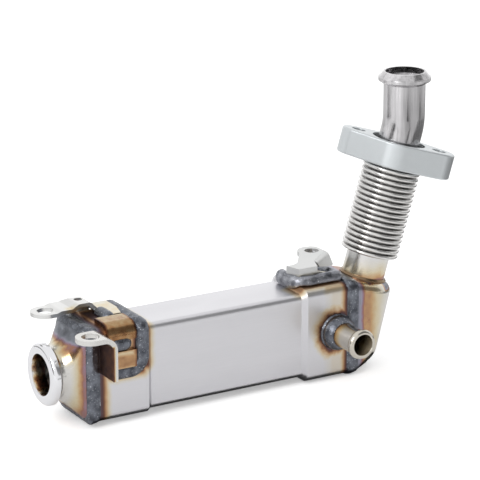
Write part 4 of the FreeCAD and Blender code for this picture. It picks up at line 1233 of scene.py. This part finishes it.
@dataclass
class Studio:
    """The floor, the lamp, the boards, the sky and the camera.

    Lengths are in metres, apart from the gaps, the lens and the sensor, which are in millimetres.
    The target is a point of the cooler, and it shows at the target pixel of the square picture.
    """

    picture: int = 480
    azimuth: float = -30.65
    elevation: float = 16.98
    distance: float = 1.5276
    lens: float = 180.0
    sensor: float = 36.0
    nearest: float = 0.05
    farthest: float = 100.0
    target: Triple = (0.1327, 0.0, -0.0013)
    target_pixel: Pair = (228.0, 340.1)
    floor_half: float = 30.0
    floor_colour: float = 0.93
    floor_lift: float = 0.36
    floor_gap: float = 0.2
    board_gap: float = 0.1
    sky_seen: float = 1.0
    sky_as_light: float = 0.85
    lamp_place: Triple = (-1.2, -0.6, 0.95)
    lamp_size: float = 0.7
    lamp_power: float = 10.0

    def axes(self) -> tuple[Vector, Vector, Vector]:
        """The camera's right, up and back."""
        turn, tilt = math.radians(self.azimuth), math.radians(self.elevation)
        right = Vector((math.cos(turn), math.sin(turn), 0.0))
        level = math.cos(tilt)
        back = Vector((math.sin(turn) * level, -math.cos(turn) * level, math.sin(tilt)))
        return right, back.cross(right), back

    def camera(self) -> None:
        """Sets the camera so that the target lies at its pixel."""
        right, up, back = self.axes()
        centre = self.picture / 2
        scale = self.distance * self.sensor / (self.lens * self.picture)
        aside = right * (self.target_pixel[0] - centre) * scale
        below = up * (self.target_pixel[1] - centre) * scale
        data = bpy.data.cameras.new("view")
        data.lens = self.lens
        data.sensor_width = self.sensor
        data.clip_start = self.nearest
        data.clip_end = self.farthest
        camera = bpy.data.objects.new("view", data)
        turn = Matrix((right, up, back)).transposed().to_4x4()
        place = Vector(self.target) + back * self.distance - aside + below
        camera.matrix_world = Matrix.Translation(place) @ turn
        bpy.context.scene.collection.objects.link(camera)
        bpy.context.scene.camera = camera

    def sky(self) -> None:
        """A plain pale sky: white to the eye and in reflections, softer as light."""
        world = bpy.data.worlds.new("studio")
        bpy.context.scene.world = world
        world.use_nodes = True
        bench = NodeBench(world.node_tree)
        rays = bench.add("LightPath")
        seen = bench.maths("MAXIMUM", rays.outputs["Is Camera Ray"], rays.outputs["Is Glossy Ray"])
        seen = bench.maths("MAXIMUM", seen, rays.outputs["Is Transmission Ray"])
        extra = self.sky_seen - self.sky_as_light
        strength = bench.maths("MULTIPLY_ADD", seen, extra, self.sky_as_light)
        sky = world.node_tree.nodes["Background"]
        sky.inputs["Color"].default_value = (1, 1, 1, 1)
        bench.link(strength, sky.inputs["Strength"])

    def floor(self) -> None:
        """A wide pale floor under the lowest point of the cooler."""
        bpy.ops.object.select_all(action="DESELECT")
        level = CAD_BOX[0].z - self.floor_gap * MM
        bpy.ops.mesh.primitive_plane_add(size=2 * self.floor_half, location=(0, 0, level))
        floor = bpy.context.object
        floor.name = "floor"
        material = bpy.data.materials.new("pale_floor")
        material.use_nodes = True
        bench = NodeBench(material.node_tree)
        shader = material.node_tree.nodes["Principled BSDF"]
        shader.inputs["Base Color"].default_value = (self.floor_colour,) * 3 + (1,)
        shader.inputs["Roughness"].default_value = 1.0
        shader.inputs["Specular IOR Level"].default_value = 0.0
        shader.inputs["Emission Color"].default_value = (1, 1, 1, 1)
        rays = bench.add("LightPath")
        lift = bench.maths("MULTIPLY", rays.outputs["Is Camera Ray"], self.floor_lift)
        bench.link(lift, shader.inputs["Emission Strength"])
        floor.data.materials.append(material)

    def facing(self, place: Triple, front: str) -> Matrix:
        """A place and a turn, so that an object's front axis points at the cooler."""
        aim = Vector(self.target) - Vector(place)
        return Matrix.Translation(place) @ aim.to_track_quat(front, "Y").to_matrix().to_4x4()

    def lamp(self) -> None:
        """Hangs one soft lamp that looks at the cooler."""
        data = bpy.data.lights.new("key", "AREA")
        data.size = self.lamp_size
        data.energy = self.lamp_power
        lamp = bpy.data.objects.new("key", data)
        lamp.matrix_world = self.facing(self.lamp_place, "-Z")
        bpy.context.scene.collection.objects.link(lamp)

    def board(self, board: Board) -> None:
        """Hangs or lays a board, hidden from the camera and casting no shadow."""
        if board.lies:
            level = CAD_BOX[0].z - self.board_gap * MM
            where = Matrix.Translation((board.place[0], board.place[1], level))
        else:
            where = self.facing(board.place, "Z")
        bpy.ops.object.select_all(action="DESELECT")
        bpy.ops.mesh.primitive_plane_add(size=1.0)
        sheet = bpy.context.object
        sheet.name = board.name
        sheet.data.transform(where @ Matrix.Diagonal((*board.size, 1.0, 1.0)))
        sheet.visible_camera = False
        sheet.visible_diffuse = False
        sheet.visible_shadow = False
        sheet.data.materials.append(self.board_tone(board))

    def board_tone(self, board: Board) -> Material:
        """A board's plain glow."""
        tone = BOARD_TONES[board.use]
        material = bpy.data.materials.new(board.name)
        material.use_nodes = True
        tree = material.node_tree
        glow = tree.nodes.new("ShaderNodeEmission")
        glow.inputs["Color"].default_value = (tone, tone, tone, 1)
        tree.links.new(glow.outputs[0], tree.nodes["Material Output"].inputs["Surface"])
        return material

    def build(self) -> None:
        """Sets the whole studio."""
        self.camera()
        self.sky()
        self.floor()
        self.lamp()
        for board in BOARDS:
            self.board(board)
        bpy.context.scene.view_settings.view_transform = "Standard"


# Heat tint round the welds, and painted shade on the side leg: middle, half size, reach and peak
# of each patch.
SEAM_HEAT = HeatZone((25.4, 0, 0), (5.4, 60, 60), 7.5, 0.66)
SEAM_TOP_HEAT = HeatZone((25.4, 0, 29), (4.4, 60, 3), 9.0, 0.80)
OUTLET_SEAM_HEAT = HeatZone((213, 0, 0), (4.4, 60, 60), 7.0, 0.66)
STUB_HEAT = HeatZone((200.6, -23, -0.8), (0, 1, 0), 20.0, 1.50)
REAR_STUB_HEAT = HeatZone((54, 23, -3.3), (0, 1, 0), 20.0, 1.50)
HOOK_HEAT = HeatZone((58.6, -22, 14), (4.4, 4, 12.0), 7.5, 0.60)
HOOK_FOOT_HEAT = HeatZone((48, -22, 2.0), (11, 4, 3.0), 6.5, 0.60)
HOOK_TOP_HEAT = HeatZone((58.9, 0, 30), (4.8, 18, 2), 6.5, 0.58)
UPPER_HEAT = HeatZone((45, 2, 31), (8, 10, 3), 9.0, 0.66)
OUTLET_BRACKET_HEAT = HeatZone((193, -10, 30), (18, 6, 2), 6.0, 0.46)
OUTLET_BLUSH = HeatZone((207, -22, 0), (9, 3, 32), 7.0, 0.17)
OUTLET_EDGE_HEAT = HeatZone((203, -22, 29), (9, 3, 1), 5.0, 0.32)
CORNER_HEAT = HeatZone((44, -22, 26), (10, 10, 4), 14.0, 0.42)
CORNER_RIGHT_HEAT = HeatZone((54, -22, 26), (0.5, 14, 14), 4.0, 0.58)
CORNER_LEFT_HEAT = HeatZone((34, -22, 26), (0.5, 14, 14), 3.0, 0.56)
SIDE_PLATE_HEAT = HeatZone((54, -24, 10), (1, 3, 7), 5.5, 0.52)
SIDE_PLATE_TOP_HEAT = HeatZone((42, -24, 16.5), (12, 3, 1), 5.0, 0.50)
SIDE_PLATE_FOOT_HEAT = HeatZone((42, -24, 8), (12, 3, 3.0), 6.0, 0.45)
# The side leg's face behind the lug: heat tint and painted shade.
LEG_HEAT_AND_SHADE = HeatZone((29.6, -30, 12), (0.3, 12, 12), 1.6, 0.58)
HEADER_SEAM_HEAT = HeatZone((213, 0, 0), (5.6, 60, 60), 8.5, 0.76)
HEADER_TOP_HEAT = HeatZone((234.6, 0, 28), (15, 15, 2), 7.0, 0.50)
HEADER_RIM_HEAT = HeatZone((236, -15, 28.7), (8, 9, 1.8), 3.4, 1.0)
HEADER_KNEE_HEAT = HeatZone((247, -15, 23.6), (6, 9, 3.0), 3.0, 1.0)
HEADER_SIDE_HEAT = HeatZone((223, -21, 4), (3, 2, 16), 16.0, 0.44)
CUFF_HEAT = HeatZone((230.0, -8, 27), (9, 9, 1), 12.0, 0.38)
CUFF_FOOT_HEAT = HeatZone((235.0, 0, 25), (16, 16, 1), 6.0, 0.52)
CAP_HEAT = HeatZone((24.0, 0, 0), (4.0, 60, 60), 8.0, 0.56)
CAP_TOP_HEAT = HeatZone((20, 0, 27), (8, 24, 5), 7.0, 0.84)
CAP_NECK_HEAT = HeatZone((15, -13, 19), (2, 3, 2), 11.0, 0.52)
BORE_HEAT = HeatZone((9, 0, 0), (6, 10.6, 10.6), 3.0, 0.56)
STUB_FOOT_HEAT = HeatZone((200.6, -30, -0.8), (9, 2, 9), 7.0, 0.40)
REAR_STUB_FOOT_HEAT = HeatZone((54, 28, -3.3), (9, 2, 9), 7.0, 0.40)
UPPER_FOLD_HEAT = HeatZone((51, 6, 30), (4, 10, 2), 12.0, 0.22)
UPPER_STEP_HEAT = HeatZone((31, 2, 31), (5, 8, 2), 5.0, 0.44)
LUG_FOOT_HEAT = HeatZone((197, -9, 33), (16, 2, 1), 4.0, 0.32)


BODY_ZONES = (
    SEAM_HEAT, SEAM_TOP_HEAT, OUTLET_SEAM_HEAT, STUB_HEAT, REAR_STUB_HEAT, HOOK_HEAT,
    HOOK_FOOT_HEAT, HOOK_TOP_HEAT, UPPER_HEAT, OUTLET_BRACKET_HEAT, OUTLET_BLUSH, OUTLET_EDGE_HEAT,
)
CAP_ZONES = (CAP_HEAT, CAP_TOP_HEAT, CAP_NECK_HEAT)
HEADER_ZONES = (
    HEADER_SEAM_HEAT, HEADER_TOP_HEAT, HEADER_RIM_HEAT, HEADER_KNEE_HEAT, HEADER_SIDE_HEAT,
)
SIDE_ZONES = (SIDE_PLATE_HEAT, SIDE_PLATE_TOP_HEAT, SIDE_PLATE_FOOT_HEAT, LEG_HEAT_AND_SHADE)
CORNER_ZONES = (CORNER_HEAT, CORNER_RIGHT_HEAT, CORNER_LEFT_HEAT)

STEELS = (
    Steel(
        "brushed_casing", (0.665, 0.66, 0.685), 0.34, grain=(0.05, 1.0, 1.0), grain_size=1500.0,
        streak=0.045, smudge=0.04, band=0.05, anisotropy=0.3, zones=BODY_ZONES,
    ),
    Steel(
        "tinted_cap", (0.62, 0.605, 0.58), 0.20, grain_size=500.0, streak=0.05, smudge=0.18,
        patchy=0.35, temper=Temper.RAINBOW, zones=CAP_ZONES,
    ),
    Steel(
        "tinted_scoop", (0.66, 0.645, 0.62), 0.22, grain_size=500.0, streak=0.04, smudge=0.14,
        patchy=0.3, temper=Temper.RAINBOW, zones=HEADER_ZONES,
    ),
    Steel("turned_ring", (0.80, 0.80, 0.82), 0.14, smudge=0.04, zones=(BORE_HEAT,)),
    Steel("matt_plate", (0.61, 0.64, 0.655), 0.38, smudge=0.05, metallic=0.85),
    # The roots of the bellows' grooves are darkened by painted shade.
    Steel(
        "polished_bellows", (0.72, 0.71, 0.70), 0.24, groove_shade=0.42, patchy=0.5,
        temper=Temper.RAINBOW, zones=(CUFF_HEAT, CUFF_FOOT_HEAT),
    ),
    # The pipe's strong streaks and bands are drawn grain deepened into painted reflection streaks.
    Steel(
        "polished_pipe", (0.54, 0.53, 0.54), 0.20, grain=(1.0, 1.0, 0.05), grain_size=700.0,
        streak=0.8, smudge=0.5, band=1.1, metallic=0.95,
    ),
    Steel("stub_steel", (0.60, 0.565, 0.50), 0.2, zones=(STUB_FOOT_HEAT, REAR_STUB_FOOT_HEAT)),
    Steel(
        "upper_bracket_steel", (0.70, 0.70, 0.69), 0.28, patchy=1.1,
        zones=(UPPER_FOLD_HEAT, UPPER_STEP_HEAT),
    ),
    Steel("side_bracket_steel", (0.66, 0.65, 0.63), 0.26, patchy=0.3, zones=SIDE_ZONES),
    Steel("saddle_steel", (0.46, 0.41, 0.35), 0.20, smudge=0.4, patchy=0.9, zones=CORNER_ZONES),
    Steel("outlet_bracket_steel", (0.62, 0.625, 0.62), 0.36, smudge=0.12, zones=(LUG_FOOT_HEAT,)),
    Steel("tube_steel", (0.40, 0.39, 0.38), 0.45, streak=0.06, smudge=0.05),
    Steel("cuff_fillet", (0.24, 0.165, 0.10), 0.26, grain_size=500.0, streak=0.06, smudge=0.5),
)
DARK_SCALE = WeldSteel(
    "weld_scale", dark=(0.075, 0.08, 0.095), light=(0.22, 0.235, 0.27), glint_fleck=(0.70, 0.73, 0.78)
)
BRIGHT_SCALE = WeldSteel(
    "bright_scale", dark=(0.13, 0.135, 0.155), light=(0.42, 0.43, 0.47), glint_fleck=(0.80, 0.82, 0.85)
)


def main() -> None:
    """Builds the studio and each sub-assembly, in order."""
    logging.basicConfig(level=logging.INFO, format="%(name)s: %(message)s")
    shop = Paintshop(Effects())
    steel = {finish.name: shop.steel(finish) for finish in STEELS}
    bead = shop.weld(DARK_SCALE)
    bright_bead = shop.weld(BRIGHT_SCALE)
    Body().build(steel["brushed_casing"], steel["tube_steel"])
    InletEnd().build(steel["turned_ring"], steel["tinted_cap"])
    Riser().build(
        shine=steel["polished_bellows"],
        plate=steel["matt_plate"],
        pipe=steel["polished_pipe"],
        cap=steel["tinted_scoop"],
    )
    Stub(side="front", reach=31.5).build(steel["stub_steel"], bead)
    Stub(side="rear", reach=27.0).build(steel["stub_steel"], bead)
    Brackets().build(
        {
            "upper_bracket": steel["upper_bracket_steel"],
            "side_bracket": steel["side_bracket_steel"],
            "saddle_plate": steel["saddle_steel"],
            "outlet_bracket": steel["outlet_bracket_steel"],
        }
    )
    Beads().build(bead, bright_bead, steel["cuff_fillet"])
    Studio().build()


if __name__ == "__main__":
    main()
